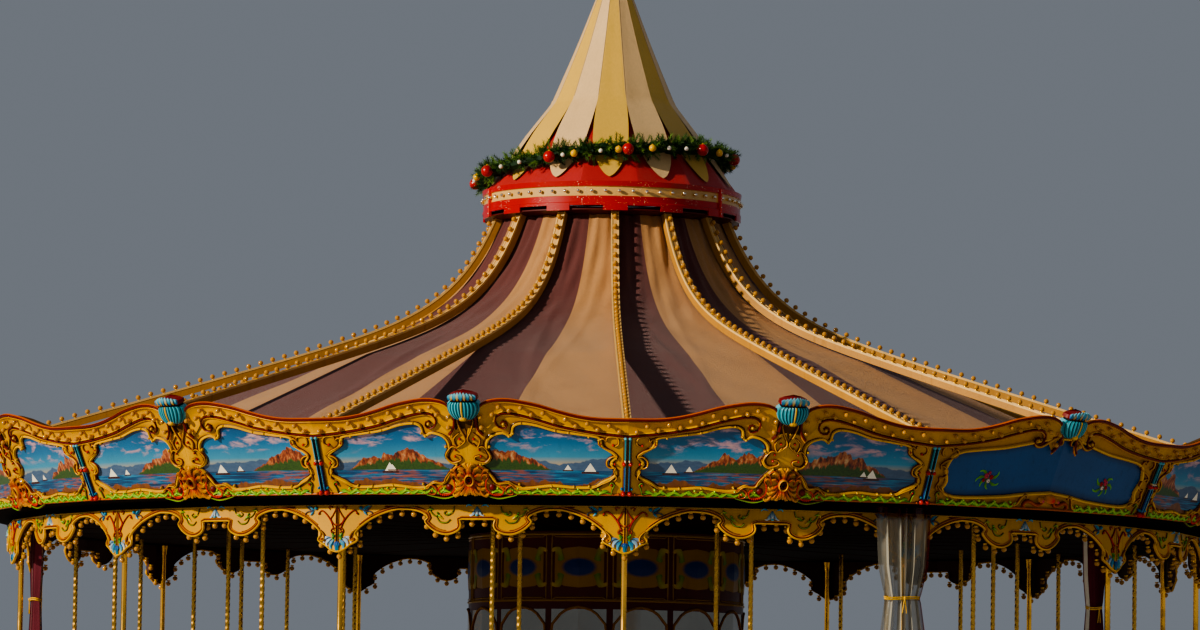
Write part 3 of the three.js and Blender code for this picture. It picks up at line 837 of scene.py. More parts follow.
def picture_panel(number):
    """The painted picture inside a frame: rings that shrink to the middle. Its places run once
    over the panel's width, and each panel starts at another whole number."""
    angles = round_angles(72)
    shares = np.array([0.0, 0.5, 0.96, 1.02])[:, None]
    reach = shares * star_ring(PANEL_EDGE, angles)
    x, z = PANEL_MIDDLE[0] + reach * np.cos(angles), PANEL_MIDDLE[1] + reach * np.sin(angles)
    low = PANEL_EDGE.min(0)
    span = PANEL_EDGE.max(0) - low
    place = stacked(0.02 + 0.96 * (x - low[0]) / span[0] + number, (z - low[1]) / span[1])
    return grid(stacked(x, z, PICTURE_STAND + 0.006 * shares**4), IVORY, around=True, place=place, finish=1)


def board_body():
    """Closed board: a section (front, back) carried along from the ridge to the valley. Its
    top lies level, so that it is cut lower at the back."""
    x = np.linspace(0, BOARD_HALF, 34)
    top = crest_height(x) - 0.014
    points = stacked(x[:, None], stacked(top - 0.024, top, 0, 0), np.array([-0.048, 0.008, 0.008, -0.048]))
    return tube(points, colour("#5d4124"), finish=2)


def board_ground():
    """Carved ground between the frame and the board's edges, in rings round the panel's middle:
    it rises from the picture's edge, runs at the stand of the frame and turns down outside."""
    x = np.linspace(0, BOARD_HALF, 30)
    upper = stacked(x, lower_height(x) + 0.01)[::-1]
    outline = np.concatenate([[(0, 0.0)], stacked(x[1:-1], 0), [(BOARD_HALF, 0.0)], upper])
    angles = round_angles(88)
    shares = np.array([0.0, 0.06, 0.3, 0.7, 0.97, 1.0])[:, None]
    stands = np.array([0.008, 0.026, 0.032, 0.032, 0.026, 0.006])[:, None]
    reach = mix(star_ring(PANEL_EDGE, angles), star_ring(outline, angles), shares)
    x, z = PANEL_MIDDLE[0] + reach * np.cos(angles), PANEL_MIDDLE[1] + reach * np.sin(angles)
    near = np.clip(np.linspace(0, 1.4, len(shares)), 0, 1)[:, None, None]
    return grid(stacked(x, z, stands), mix(GOLD_DEEP, mix(GOLD, GOLD_LIGHT, 0.35), near), around=True)


def lamp_band():
    """Hollow of the lamp band between the lower rail and the crest."""
    x = np.linspace(0, 1.2, 30)
    share = np.linspace(0, 1, 6)[:, None]
    z = mix(lower_height(x), crest_height(x), share)
    out = 0.046 - 0.022 * np.sin(math.pi * share) + 0.016 * share
    # The band is a darker gold where it meets the rails: painted shade in those corners
    return grid(stacked(x, z, out), mix(0.75 * GOLD, GOLD, np.sin(math.pi * share)[..., None]))


def outlined(path, width, rise, stand, paint):
    """A carved strip that stands on a slightly wider dark line, as painters outline it."""
    return joined([rail(path, width + 0.005, 0.3 * rise, stand, DARK_RED * 0.6, sides=4),
                   rail(path, width, rise, stand + 0.002, paint, DARK_RED)])


def curl(start, end, width, first, last, bend, stand, paint=GOLD_LIGHT, steps=22, rise=0.02):
    """An outlined scroll whose width swells in its middle."""
    return outlined(scroll(start, end, first, last, bend, steps), tapered(steps) * width, rise, stand, paint)


def stroke(points, width, paint=GOLD_LIGHT, stand=0.032, rise=0.017):
    """An outlined scroll through given points, full in its middle and thin at its ends."""
    steps = 4 * len(points)
    return outlined(curve_through(points, steps), tapered(steps, 0.45) * width, rise, stand, paint)


def beads(path, step, radius, stand, paint):
    """A row of round beads along a line."""
    length = run_length(path)
    stops = np.arange(step / 2, length[-1], step)
    places = [np.interp(stops, length, path[:, i]) for i in (0, 1)]
    return repeated(ball(radius, 2, 6, paint), stacked(*places, stand))


def crest_carving():
    """Mouldings that every unit has: crest, lower rail with its volute, and the foot."""
    crest_line = curve_through(CREST * [1, CREST_SCALE], 36)
    rail_line = curve_through(LOWER_RAIL, 48)
    run = np.linspace(0, 1, 48)
    return [
        rail(crest_line, 0.0125, 0.022, 0.05, DARK_RED, UMBER, sides=7),
        # The thin orange line along the top of the crest is a painted highlight of its lit upper edge
        rail(crest_line + [0, 0.0115], 0.0022, 0.016, 0.05, ORANGE),
        rail(crest_line - [0, 0.02], 0.0075, 0.012, 0.048, GOLD_LIGHT, ORANGE),
        rail(rail_line, mix(0.0105, 0.006, run**4), 0.02, 0.04, DARK_RED, UMBER, sides=7),
        rail(rail_line[:38] + [0, 0.015], 0.0045, 0.012, 0.042, GOLD_LIGHT),
        rail(rail_line[:40] - [0, 0.016], 0.0065, 0.014, 0.036, GOLD_LIGHT, ORANGE),
        button((0.998, 0.588), 0.016, 0.03, 0.04, GOLD_LIGHT, DARK_RED),
        rail(np.linspace((0, 0.01), (BOARD_HALF, 0.01), 14), 0.01, 0.016, 0.026, ORANGE, GOLD_DEEP),
    ]


def ridge_carving():
    """Half of the twin columns at a ridge with their caps, flowers and feet."""
    return [
        rail(np.linspace((0.012, 0.04), (0.012, 0.48), 6), 0.028, 0.012, 0.028, GOLD, UMBER),
        rail(np.linspace((0.0, 0.045), (0.0, 0.47), 6), 0.005, 0.022, 0.034, INK, INK, sides=4),
        rail(np.linspace((0.019, 0.045), (0.019, 0.24), 8), 0.01, 0.024, 0.036, BLUE, INK, sides=8),
        rail(np.linspace((0.019, 0.3), (0.019, 0.468), 7), 0.01, 0.024, 0.036, TEAL, INK, sides=8),
        rail(np.linspace((0.016, 0.055), (0.016, 0.46), 7), 0.0018, 0.03, 0.04, ICE, ICE, sides=4),
        button((0.019, 0.476), 0.016, 0.026, 0.042, ICE, TEAL),
        button((0.027, 0.268), 0.019, 0.034, 0.042, SCARLET, DARK_RED, sides=10),
        button((0.018, 0.292), 0.008, 0.028, 0.046, IVORY, GOLD_LIGHT),
        button((0.028, 0.022), 0.023, 0.036, 0.036, SCARLET, DARK_RED, sides=10),
        button((0.042, 0.062), 0.012, 0.026, 0.036, TEAL, BLUE),
        button((0.068, 0.016), 0.012, 0.022, 0.034, ORANGE, UMBER),
    ]


# Each scroll: its points, its half width and its paint
FLANK_SCROLLS = [
    ([(1.288, 0.608), (1.263, 0.629), (1.239, 0.608), (1.263, 0.533), (1.296, 0.451), (1.23, 0.393)],
     0.0085, GOLD_LIGHT),
    ([(1.247, 0.509), (1.197, 0.459), (1.222, 0.393), (1.255, 0.426)], 0.008, GOLD_LIGHT),
    ([(1.222, 0.385), (1.173, 0.397), (1.119, 0.327), (1.165, 0.269), (1.239, 0.285), (1.247, 0.314),
      (1.206, 0.327)], 0.0092, GOLD_LIGHT),
    ([(1.239, 0.244), (1.189, 0.219), (1.148, 0.161), (1.173, 0.112)], 0.009, ORANGE),
    ([(1.14, 0.194), (1.099, 0.145), (1.074, 0.103), (1.0, 0.103), (0.959, 0.087), (0.926, 0.058),
      (0.852, 0.05), (0.77, 0.062)], 0.008, GOLD_LIGHT),
    ([(1.189, 0.012), (1.14, -0.012), (1.058, -0.025), (0.918, 0.004)], 0.008, GREEN),
    ([(0.918, 0.062), (0.959, 0.083), (1.008, 0.054), (0.992, 0.012), (0.951, 0.012), (0.951, 0.045)],
     0.008, ORANGE)]
FOOT_BEADS = [(1.165, 0.128), (1.173, 0.062), (1.14, 0.021), (1.09, 0.004), (1.041, 0.012), (1.025, 0.054),
              (1.058, 0.079)]


def valley_carving():
    """Scrolls on both sides of the flat crease at a valley, and the foot cluster: an oval ring
    with leaves over and under it and an arc of beads round a dark boss."""
    v = BOARD_HALF
    parts = [stroke(path, width, paint, 0.034) for path, width, paint in FLANK_SCROLLS]
    for x, z, size, paint, edge in (
            (1.247, 0.459, 0.012, SCARLET, UMBER), (1.197, 0.318, 0.012, SCARLET, UMBER),
            (1.206, 0.37, 0.01, RED, UMBER), (0.959, 0.484, 0.014, GOLD_LIGHT, UMBER),
            (0.926, 0.508, 0.011, GOLD_LIGHT, UMBER), (1.123, 0.397, 0.013, GOLD_LIGHT, UMBER),
            (1.206, 0.252, 0.013, GOLD_LIGHT, UMBER), (1.12, 0.064, 0.03, DARK_RED, UMBER),
            (1.118, 0.066, 0.014, SCARLET, INK), (0.967, 0.037, 0.014, ORANGE, DARK_RED),
            (1.266, 0.617, 0.011, ORANGE, UMBER)):
        parts.append(button((x, z), size, 0.024, 0.034, paint, edge, sides=9))
    parts.append(beads(curve_through(FOOT_BEADS, 60), 0.0165, 0.0085, 0.05, SCARLET))
    turn = np.linspace(0.5, 1.5, 13) * math.pi
    ring = stacked(v - 0.002 + 0.034 * np.cos(turn), 0.128 + 0.042 * np.sin(turn))
    parts.append(rail(ring, 0.0085, 0.03, 0.054, GOLD_LIGHT, ORANGE))
    parts.append(rail(ring * [0.5, 0.5] + [0.5 * v, 0.064], 0.009, 0.026, 0.05, DARK_RED, INK))
    # Each leaf: where it starts and ends from the valley's foot, its half width and its bow
    for i, (x0, z0, x1, z1, width, bow) in enumerate((
            (0.004, 0.165, 0.006, 0.262, 0.017, 0.0), (0.022, 0.165, 0.05, 0.245, 0.014, 0.2),
            (0.032, 0.155, 0.092, 0.205, 0.014, 0.2), (0.038, 0.14, 0.098, 0.15, 0.012, 0.2),
            (0.038, 0.125, 0.118, 0.112, 0.013, -0.15), (0.036, 0.112, 0.128, 0.07, 0.014, -0.15),
            (0.032, 0.098, 0.105, 0.026, 0.016, -0.15), (0.02, 0.09, 0.064, 0.008, 0.017, -0.12),
            (0.006, 0.088, 0.016, 0.002, 0.018, 0.0), (0.08, 0.08, 0.15, 0.018, 0.012, -0.2),
            (0.11, 0.15, 0.15, 0.19, 0.009, 0.3), (0.1, 0.12, 0.14, 0.155, 0.009, 0.3))):
        paint = (SCARLET, ORANGE, RED, SCARLET)[i % 4]
        parts.append(leaf((v - x0, z0), (v - x1, z1), width, 0.026, 0.042, bow, 2.2 * bow, paint,
                          DARK_RED * 0.6, GOLD_LIGHT, lobes=4, sides=5))
    return parts


def leafy_foot(last):
    """Thin green leaves and light buds on a wavy stem along the foot, up to the place last."""
    lime = colour("#b9d43c")
    x = np.linspace(0.13, last, 40)
    stem = stacked(x, 0.022 + 0.007 * np.sin(x / 0.024))
    parts = [rail(stem, 0.0048, 0.012, 0.034, GREEN, DEEP_GREEN, sides=5),
             stroke([(0.127, 0.021), (0.119, 0.062), (0.103, 0.095), (0.128, 0.112), (0.144, 0.087)],
                    0.0065, GREEN)]
    for i, start in enumerate(np.arange(0.15, last - 0.05, 0.056)):
        low, high, bow = (0.014, 0.06, 0.12) if i % 2 else (0.042, 0.006, -0.12)
        width = 0.0135 + 0.003 * math.sin(2.3 * i)
        parts.append(leaf((start, low), (start + 0.098, high), width, 0.014, 0.036, bow, 0.0, GREEN,
                          DEEP_GREEN, lime, lobes=2, steps=9, sides=5))
        if i % 3 == 1:
            parts.append(button((start + 0.03, 0.058), 0.01, 0.02, 0.036, lime, GREEN, sides=7))
    return parts


# Each scroll: its points and its half width
RIDGE_SCROLLS = [
    ([(0.177, 0.451), (0.169, 0.48), (0.136, 0.488), (0.095, 0.484), (0.074, 0.459), (0.078, 0.426),
      (0.107, 0.409)], 0.0095),
    ([(0.21, 0.401), (0.235, 0.426), (0.23, 0.459), (0.202, 0.471), (0.177, 0.451)], 0.0085),
    ([(0.21, 0.409), (0.169, 0.385), (0.128, 0.368), (0.086, 0.335), (0.095, 0.302)], 0.0075),
    ([(0.086, 0.327), (0.128, 0.323), (0.165, 0.294), (0.165, 0.252), (0.136, 0.232), (0.103, 0.236)], 0.009),
    ([(0.095, 0.236), (0.107, 0.203), (0.086, 0.153), (0.103, 0.128)], 0.007),
    ([(0.103, 0.161), (0.144, 0.128), (0.202, 0.103), (0.251, 0.079), (0.3, 0.062)], 0.008)]
FRAME_BUDS = [(0.588, 0.533), (0.481, 0.517), (0.317, 0.484), (0.235, 0.459), (0.313, 0.079),
              (0.625, 0.079), (0.893, 0.091), (0.86, 0.591), (0.44, 0.074), (0.123, 0.269)]


def cornice_carving():
    """Frame, scrolls, leaves and flowers of a half board with the landscape panel."""
    frame_line = curve_through(PANEL_EDGE, 120, closed=True)
    parts = crest_carving() + ridge_carving() + valley_carving() + leafy_foot(1.1)
    parts.append(rail(frame_line, 0.0115, 0.02, 0.026, GOLD_LIGHT, GOLD, sides=8, closed=True))
    for share, width, rise, stand in ((1.045, 0.0038, 0.006, 0.03), (0.962, 0.0045, 0.008, 0.014)):
        line = curve_through(mix(PANEL_MIDDLE, PANEL_EDGE, share), 100, closed=True)
        parts.append(rail(line, width, rise, stand, UMBER, closed=True))
    parts += [stroke(path, width) for path, width in RIDGE_SCROLLS]
    for x, z, size in ((0.119, 0.418, 0.012), (0.103, 0.265, 0.011), (0.128, 0.095, 0.012),
                       (0.222, 0.43, 0.008)):
        parts.append(button((x, z), size, 0.026, 0.032, SCARLET, UMBER))
    for x, z in FRAME_BUDS:
        parts.append(button((x, z), 0.012, 0.024, 0.032, GOLD_LIGHT, UMBER))
    return joined(parts)


def shell_half():
    """Half of the bud over a valley: a cup whose half width swells up to its black mouth, each
    flute of which bulges, and over it a crown of teal and gilt leaves with a dark-red rim."""
    flutes, v = 5, BOARD_HALF
    across = np.linspace(0, 1, flutes * 6 + 1)[None, :]
    wave = np.abs(np.cos(math.pi * flutes * across))
    bulge = np.sqrt(np.clip(1 - across**2, 0, 1))

    def skin(heights, halves, tone, swell):
        half = np.asarray(halves)[:, None]
        out = 0.05 + 0.085 * bulge * (half / 0.13) ** 0.7 + swell * wave * (half > 0.01)
        high = np.asarray(heights)[:, None] - 0.012 * across**2
        points = stacked(v - half * across, high, out)
        back = points[:, ::-1] * [1, 1, 0] + [0, 0, 0.01]
        tone = np.broadcast_to(tone, points.shape)
        return grid(np.concatenate([points, back], 1), np.concatenate([tone, tone[:, ::-1]], 1)).flipped()

    up = np.linspace(0, 1, 11)
    cup = mix(INK, TEAL, smooth_step(0.1, 0.6, wave)[..., None])
    cup = mix(cup, ICE, smooth_step(0.86, 0.99, wave)[..., None])
    cup = np.where((across < 0.06)[..., None], GOLD_LIGHT, cup)
    parts = [
        skin(0.64 + 0.148 * up, np.interp(up, [0, 0.1, 0.35, 0.65, 0.9, 1],
                                          [0.06, 0.088, 0.12, 0.134, 0.128, 0.108]), cup, 0.01),
        skin([0.788, 0.79, 0.804], [0.106, 0.098, 0.098], INK, 0.0),
        skin([0.8, 0.808, 0.836, 0.85, 0.856], [0.1, 0.118, 0.112, 0.08, 0.001], DARK_RED, 0.004),
        button((v - 0.008, 0.65), 0.028, 0.03, 0.1, GOLD_LIGHT, UMBER),
    ]
    for i, (x, tall) in enumerate(((0.0, 0.066), (0.026, 0.064), (0.052, 0.058), (0.076, 0.05),
                                   (0.098, 0.04))):
        stand = 0.055 + 0.075 * math.sqrt(1 - (x / 0.13) ** 2)
        paint, edge = ((TEAL, BLUE), (GOLD_LIGHT, UMBER))[i % 2]
        parts.append(leaf((v - 1.1 * x, 0.8), (v - 0.9 * x, 0.804 + tall), 0.016, 0.02, stand, 0.0, 0.0,
                          paint, edge, ICE, lobes=1))
    return joined(parts)


def ornament_half():
    """Everything on a half board but the picture, in board places."""
    return joined([board_body(), board_ground(), lamp_band(), cornice_carving(), shell_half()])


SIGN_FOOT = np.array([(0.15, 0.3), (0.19, 0.2), (0.16, 0.13), (0.26, 0.08), (0.45, 0.075), (0.8, 0.095),
                      (1.05, 0.125), (BOARD_HALF, 0.145)])
SIGN_HEAD = np.array([(0.15, 0.3), (0.19, 0.4), (0.28, 0.45), (0.45, 0.475), (0.7, 0.505), (0.95, 0.555),
                      (1.15, 0.6), (BOARD_HALF, 0.605)])


def sign_half():
    """Half of a sign board: one wide blue panel over both halves, left bare but for two rose
    bouquets, with an ornament at the middle of its foot."""
    share = np.linspace(0, 1, 7)[:, None]
    x = np.linspace(0.152, BOARD_HALF, 26)
    z = mix(np.interp(x, *SIGN_FOOT.T), np.interp(x, *SIGN_HEAD.T), share)
    rim = smooth_step(0.12, 0.0, share) + smooth_step(0.88, 1.0, share)
    field = grid(stacked(x, z, 0.014), mix(colour("#0c4a80"), colour("#082c58"), rim[..., None]))
    x = np.linspace(0, BOARD_HALF, 26)
    ground = grid(stacked(x, mix(0.0, lower_height(x) + 0.01, share), 0.011), mix(GOLD, GOLD_DEEP, 0.3))
    parts = [board_body(), ground, field, lamp_band(), shell_half()]
    parts += crest_carving() + ridge_carving() + leafy_foot(0.95)
    parts += [stroke(path, width) for path, width in RIDGE_SCROLLS]
    for line in (SIGN_FOOT, SIGN_HEAD):
        fine = curve_through(line, 40)
        parts.append(rail(fine, 0.014, 0.024, 0.022, GOLD_LIGHT, GOLD, sides=8))
        parts.append(rail(fine + (PANEL_MIDDLE - fine) * [0, 0.05], 0.0045, 0.008, 0.018, UMBER))
    parts += [
        curl((1.0, 0.59), (1.235, 0.56), 0.013, 0.9, -1.0, 0.1, 0.034, steps=30),
        curl((1.06, 0.03), (1.215, 0.09), 0.016, -0.9, 1.0, 0.1, 0.034, ORANGE, 30, 0.03),
        curl((0.93, 0.05), (1.06, 0.105), 0.011, 0.6, -0.9, 0.2, 0.034),
        button((1.215, 0.092), 0.022, 0.04, 0.054, PINK, GOLD_LIGHT, sides=10),
        button((BOARD_HALF - 0.004, 0.105), 0.04, 0.06, 0.05, SCARLET, GOLD_LIGHT, sides=10),
    ]
    for spot, size, paint in (((0.6, 0.26), 0.026, PINK), ((0.652, 0.25), 0.022, RED),
                              ((0.628, 0.218), 0.02, IVORY), ((0.578, 0.222), 0.017, RED),
                              ((0.625, 0.285), 0.016, PINK)):
        parts.append(button(spot, size, 0.012, 0.016, paint, DARK_RED, sides=9))
        parts.append(button(spot, 0.4 * size, 0.015, 0.018, DARK_RED, paint, sides=7))
    for end in ((0.5, 0.205), (0.52, 0.29), (0.72, 0.3), (0.745, 0.205), (0.645, 0.15), (0.56, 0.165)):
        parts.append(leaf((0.62, 0.24), end, 0.012, 0.006, 0.014, 0.1, 0.2, DEEP_GREEN, INK, GREEN))
    return joined(parts)


def band_lamps():
    """Lamp places on a half board: two staggered rows between the rails and three round the
    volute; each place has its stand for the band's slope."""
    upper = 0.152 + LAMP_STEP * np.arange(6)
    lower = 0.07 + LAMP_STEP * np.arange(6)
    seats = [stacked(line, mix(lower_height(line), crest_height(line), share), stand)
             for line, share, stand in ((upper, 0.62, 0.046), (lower, 0.3, 0.044))]
    end = np.array([(1.08, 0.67, 0.048), (1.175, 0.65, 0.05), (1.17, 0.565, 0.05)])
    return np.concatenate([*seats, end])


def lamp(size):
    """A globe over a short gilt cap, along +Z."""
    body = ball(size, 4, 9, IVORY, low=-0.32)
    body.points[:, 2] += size * 1.25
    turn = round_angles(6)
    cap = np.stack([stacked(r * size * np.cos(turn), r * size * np.sin(turn), h * size)
                    for r, h in ((0.75, -0.1), (0.68, 0.42))])
    return joined([body, tube(cap, GOLD_LIGHT, finish=1)])


def axes_along(out, steady=(0.0, 0.0, 1.0)):
    """For each direction a set of axes (columns) whose third lies along it."""
    third = unit(np.asarray(out, float))
    first = unit(np.cross(np.broadcast_to(steady, third.shape), third))
    second = np.cross(third, first)
    return stacked(first, second, third)


def lamp_piece(name, seats, outs, size, globe="clear_globe"):
    """One mesh of lamps, each on its seat and along its own way out."""
    lamps = repeated(lamp(size), np.concatenate(seats), axes_along(np.concatenate(outs)))
    piece(name, lamps, finishes(globe, "lamp_cap"), sharp=1.3)


def cornice_units(lamp_radius):
    """Fourteen carved units and the lamps on them."""
    view_half = ornament_half()
    sign = sign_half()
    finish = finishes("board_paint", "painted_view", "matt_boards")
    seats, outs = [], []
    for k in range(BAYS):
        patches = []
        for half in (2 * k, 2 * k + 1):
            law = on_face(half, FACE_RADIUS, FACE_LEAN, CORNICE_BASE)
            plain = sign if k in SIGN_UNITS else joined([view_half, picture_panel(half)])
            patches.append(put_on(plain, law, half))
            places = band_lamps()
            seats.append(law(places))
            outs.append(law(places + [0, 0, 0.1]) - law(places))
        piece(f"carved_cornice_{k + 1:02d}", joined(patches), finish,
              stands_for=[f"cornice_{k + 1:02d}"])
    lamp_piece("cornice_lamps", seats, outs, 0.85 * lamp_radius)


# Lower boards under the cornice. Their places are (x from the post, height, out of the face).
VALANCE_TOP = 3.42
VALANCE_EDGE = np.array([
    (0, 3.012), (0.04, 3.02), (0.085, 3.045), (0.125, 3.075), (0.15, 3.086), (0.188, 3.11), (0.19, 3.135),
    (0.165, 3.165), (0.178, 3.19), (0.215, 3.228), (0.3, 3.287), (0.385, 3.328), (0.465, 3.356),
    (0.545, 3.374), (0.606, 3.375), (0.688, 3.369), (0.765, 3.346), (0.815, 3.312), (0.79, 3.277),
    (0.819, 3.235), (0.876, 3.192), (0.95, 3.164), (1.031, 3.167), (1.097, 3.2), (1.117, 3.243),
    (1.105, 3.284)])
NOTCH = 3.289
# Each scroll: its points, its half width and its paint
DROP_SCROLLS = [
    ([(0.189, 3.331), (0.172, 3.36), (0.147, 3.365), (0.122, 3.348), (0.088, 3.314), (0.055, 3.264),
      (0.029, 3.196)], 0.006, SCARLET),
    ([(0.046, 3.39), (0.063, 3.408), (0.084, 3.398), (0.071, 3.373)], 0.0045, ORANGE),
    ([(0.008, 3.398), (0.021, 3.365), (0.046, 3.323), (0.063, 3.297), (0.046, 3.264), (0.004, 3.23)], 0.005,
     SCARLET),
    ([(0.004, 3.213), (0.038, 3.217), (0.059, 3.196), (0.046, 3.171), (0.025, 3.184)], 0.005, ORANGE),
    ([(0.315, 3.411), (0.273, 3.373), (0.239, 3.365)], 0.0055, TEAL),
    ([(0.239, 3.348), (0.29, 3.36), (0.323, 3.339), (0.307, 3.314)], 0.005, TEAL),
    ([(0.835, 3.398), (0.85, 3.352), (0.89, 3.318), (0.915, 3.338), (0.898, 3.352)], 0.0055, GREEN),
    ([(1.055, 3.402), (1.04, 3.355), (0.995, 3.325), (0.965, 3.345), (0.985, 3.36)], 0.0055, GREEN),
    ([(0.9, 3.312), (0.93, 3.27), (0.985, 3.262), (1.02, 3.29)], 0.006, GREEN),
    ([(0.56, 3.398), (0.5, 3.404), (0.43, 3.398)], 0.004, DARK_RED),
    ([(0.7, 3.402), (0.64, 3.398), (0.6, 3.402)], 0.004, GREEN)]


def valance_half():
    """Half a bay of the lower boards: the cut board, its mouldings and its carving."""
    curve = curve_through(VALANCE_EDGE, 84)
    notch = stacked(np.linspace(1.125, VALANCE_HALF, 6), NOTCH)
    edge = np.concatenate([curve, notch])
    # The cut board's own columns run forward only; the mouldings may curl back
    x = np.maximum.accumulate(edge[:, 0] + 1e-5 * np.arange(len(edge)))
    foot = edge[:, 1] + 0.004
    heights = stacked(VALANCE_TOP, VALANCE_TOP, foot, foot)
    body = tube(stacked(x[:, None], heights, np.array([-0.028, 0.002, 0.002, -0.028])), UMBER)
    share = np.linspace(0, 1, 5)[:, None]
    face = stacked(x, mix(edge[:, 1] + 0.008, VALANCE_TOP, share), 0.006)
    ahead = unit(np.gradient(edge, axis=0))
    inward = stacked(-ahead[:, 1], ahead[:, 0])
    parts = [
        # The face darkens towards its top: painted shade under the ring beam and the boards above
        body, grid(face, mix(GOLD, 0.8 * GOLD, share[..., None])),
        rail(edge + 0.004 * inward, 0.009, 0.02, 0.004, GOLD_LIGHT, GOLD, sides=7),
        rail((edge + 0.0165 * inward)[18:], 0.0036, 0.007, 0.006, DARK_RED),
        rail((edge + 0.026 * inward)[20:], 0.006, 0.013, 0.006, GOLD, ORANGE),
        rail((edge + 0.0365 * inward)[26:72], 0.003, 0.006, 0.006, DARK_RED),
        rail(np.linspace((0, 3.411), (VALANCE_HALF, 3.411), 10), 0.008, 0.014, 0.004, GOLD_LIGHT, UMBER),
        # Volute beside the drop, and the seam down its middle
        curl((0.178, 3.205), (0.147, 3.122), 0.0105, 0.0, 1.15, 0.15, 0.006, steps=28, rise=0.024),
        button((0.147, 3.123), 0.011, 0.028, 0.01, ORANGE, UMBER),
        rail(np.linspace((0.002, 3.1), (0.002, 3.4), 6), 0.0032, 0.012, 0.006, DARK_RED, UMBER),
        rail(np.linspace((0.01, 3.1), (0.01, 3.4), 6), 0.0035, 0.014, 0.006, GOLD_LIGHT, GOLD),
    ]
    carving = [stroke(path, width, paint, 0.006, 0.012) for path, width, paint in DROP_SCROLLS]
    for start, end, width, bow, bent, paint, edge_paint, tip in (
            ((0.003, 3.115), (0.002, 3.016), 0.024, 0.0, 0.0, BLUE, BLUE * 0.4, TEAL),
            ((0.022, 3.122), (0.05, 3.04), 0.017, -0.1, -0.3, TEAL, BLUE, ICE),
            ((0.045, 3.13), (0.088, 3.062), 0.015, -0.12, -0.4, ICE, BLUE, IVORY),
            ((0.06, 3.138), (0.12, 3.095), 0.013, -0.15, -0.5, TEAL, BLUE, IVORY),
            ((0.01, 3.15), (0.04, 3.178), 0.01, 0.2, 0.4, DEEP_GREEN, INK, GREEN),
            ((0.01, 3.16), (0.03, 3.12), 0.01, -0.2, -0.4, DEEP_GREEN, INK, GREEN),
            ((0.225, 3.366), (0.3, 3.404), 0.01, 0.2, -0.4, TEAL, BLUE, ICE),
            ((0.235, 3.362), (0.273, 3.331), 0.009, -0.2, 0.4, TEAL, BLUE, ICE),
            ((0.9, 3.33), (0.96, 3.292), 0.01, -0.2, 0.2, GREEN, DEEP_GREEN, GOLD_LIGHT),
            ((0.99, 3.335), (1.045, 3.35), 0.009, -0.2, 0.2, GREEN, DEEP_GREEN, GOLD_LIGHT),
            ((0.87, 3.37), (0.815, 3.352), 0.008, 0.2, 0.2, GREEN, DEEP_GREEN, GOLD_LIGHT),
            ((VALANCE_HALF - 0.004, 3.4), (VALANCE_HALF - 0.002, 3.312), 0.015, 0.0, 0.0, TEAL, BLUE, IVORY),
            ((1.235, 3.375), (1.195, 3.33), 0.011, -0.15, -0.4, ICE, BLUE, IVORY),
            ((1.225, 3.398), (1.165, 3.395), 0.009, 0.15, 0.4, TEAL, BLUE, ICE)):
        carving.append(leaf(start, end, width, 0.018, 0.006, bow, bent, paint, edge_paint, tip, lobes=2,
                            steps=9, sides=5))
    for x, z, size, paint, edge_paint in (
            (0.181, 3.344, 0.01, SCARLET, UMBER), (0.214, 3.388, 0.018, TEAL, BLUE),
            (0.071, 3.398, 0.007, ORANGE, UMBER), (0.0, 3.245, 0.011, ORANGE, DARK_RED),
            (0.046, 3.186, 0.008, RED, UMBER), (0.905, 3.345, 0.009, GREEN, DEEP_GREEN),
            (VALANCE_HALF - 0.004, 3.325, 0.012, ICE, TEAL)):
        carving.append(button((x, z), size, 0.022, 0.008, paint, edge_paint))
    return joined(parts), joined(carving)


def valance(lamp_radius):
    """The ring of lower boards and the lamps that hang along their edge."""
    boards, carving = valance_half()
    rim = np.concatenate([curve_through(VALANCE_EDGE, 220), [(VALANCE_HALF, NOTCH)]])
    length = run_length(rim)
    stops = np.arange(0.0, length[-1], 0.107)
    spots = stacked(np.interp(stops, length, rim[:, 0]), np.interp(stops, length, rim[:, 1]) - 0.002, -0.052)
    cut, carved, seats, outs = [], [], [], []
    for half in range(FACES):
        law = on_face(half, VALANCE_FACE)
        cut.append(put_on(boards, law, half))
        carved.append(put_on(carving, law, half))
        mine = spots if half % 2 == 0 else spots[1:]
        seats.append(law(mine))
        outs.append(law(mine + [0, -0.1, 0.012]) - law(mine))
    piece("valance_boards", joined(cut), finishes("board_paint"), stands_for=["valance"])
    piece("valance_carving", joined(carved), finishes("board_paint"))
    lamp_piece("valance_lamps", seats, outs, 1.02 * lamp_radius)


# Striped top
RIB_DEPTH = 0.07
RIB_HALF = 0.033
RIB_START, RIB_END = 1.13, 6.045
RIB_FOOT_RADIUS, RIB_FOOT_HEIGHT = 5.85, 4.12
RIB_FALL = 0.31
BELL_RADIUS, BELL_RISE, BELL_REACH = 1.15, 0.752, 0.37
CANVAS_EDGE, HEM_RADIUS = 5.69, 5.56
CROWN_FLOOR = 6.345


def bell(radius):
    """Rise of the ribs at the crown, which dies out by e every BELL_REACH."""
    return BELL_RISE * np.exp((BELL_RADIUS - radius) / BELL_REACH)


def rib_height(radius):
    """Top of the ribs: a straight fall and the bell."""
    return RIB_FOOT_HEIGHT + RIB_FALL * (RIB_FOOT_RADIUS - radius) + bell(radius)


def under_rib(radius, depth):
    """Radius and height of a point that lies a depth square under the ribs' top line."""
    slope = -RIB_FALL - bell(radius) / BELL_REACH
    length = np.hypot(1, slope)
    return radius + depth * slope / length, rib_height(radius) - depth / length


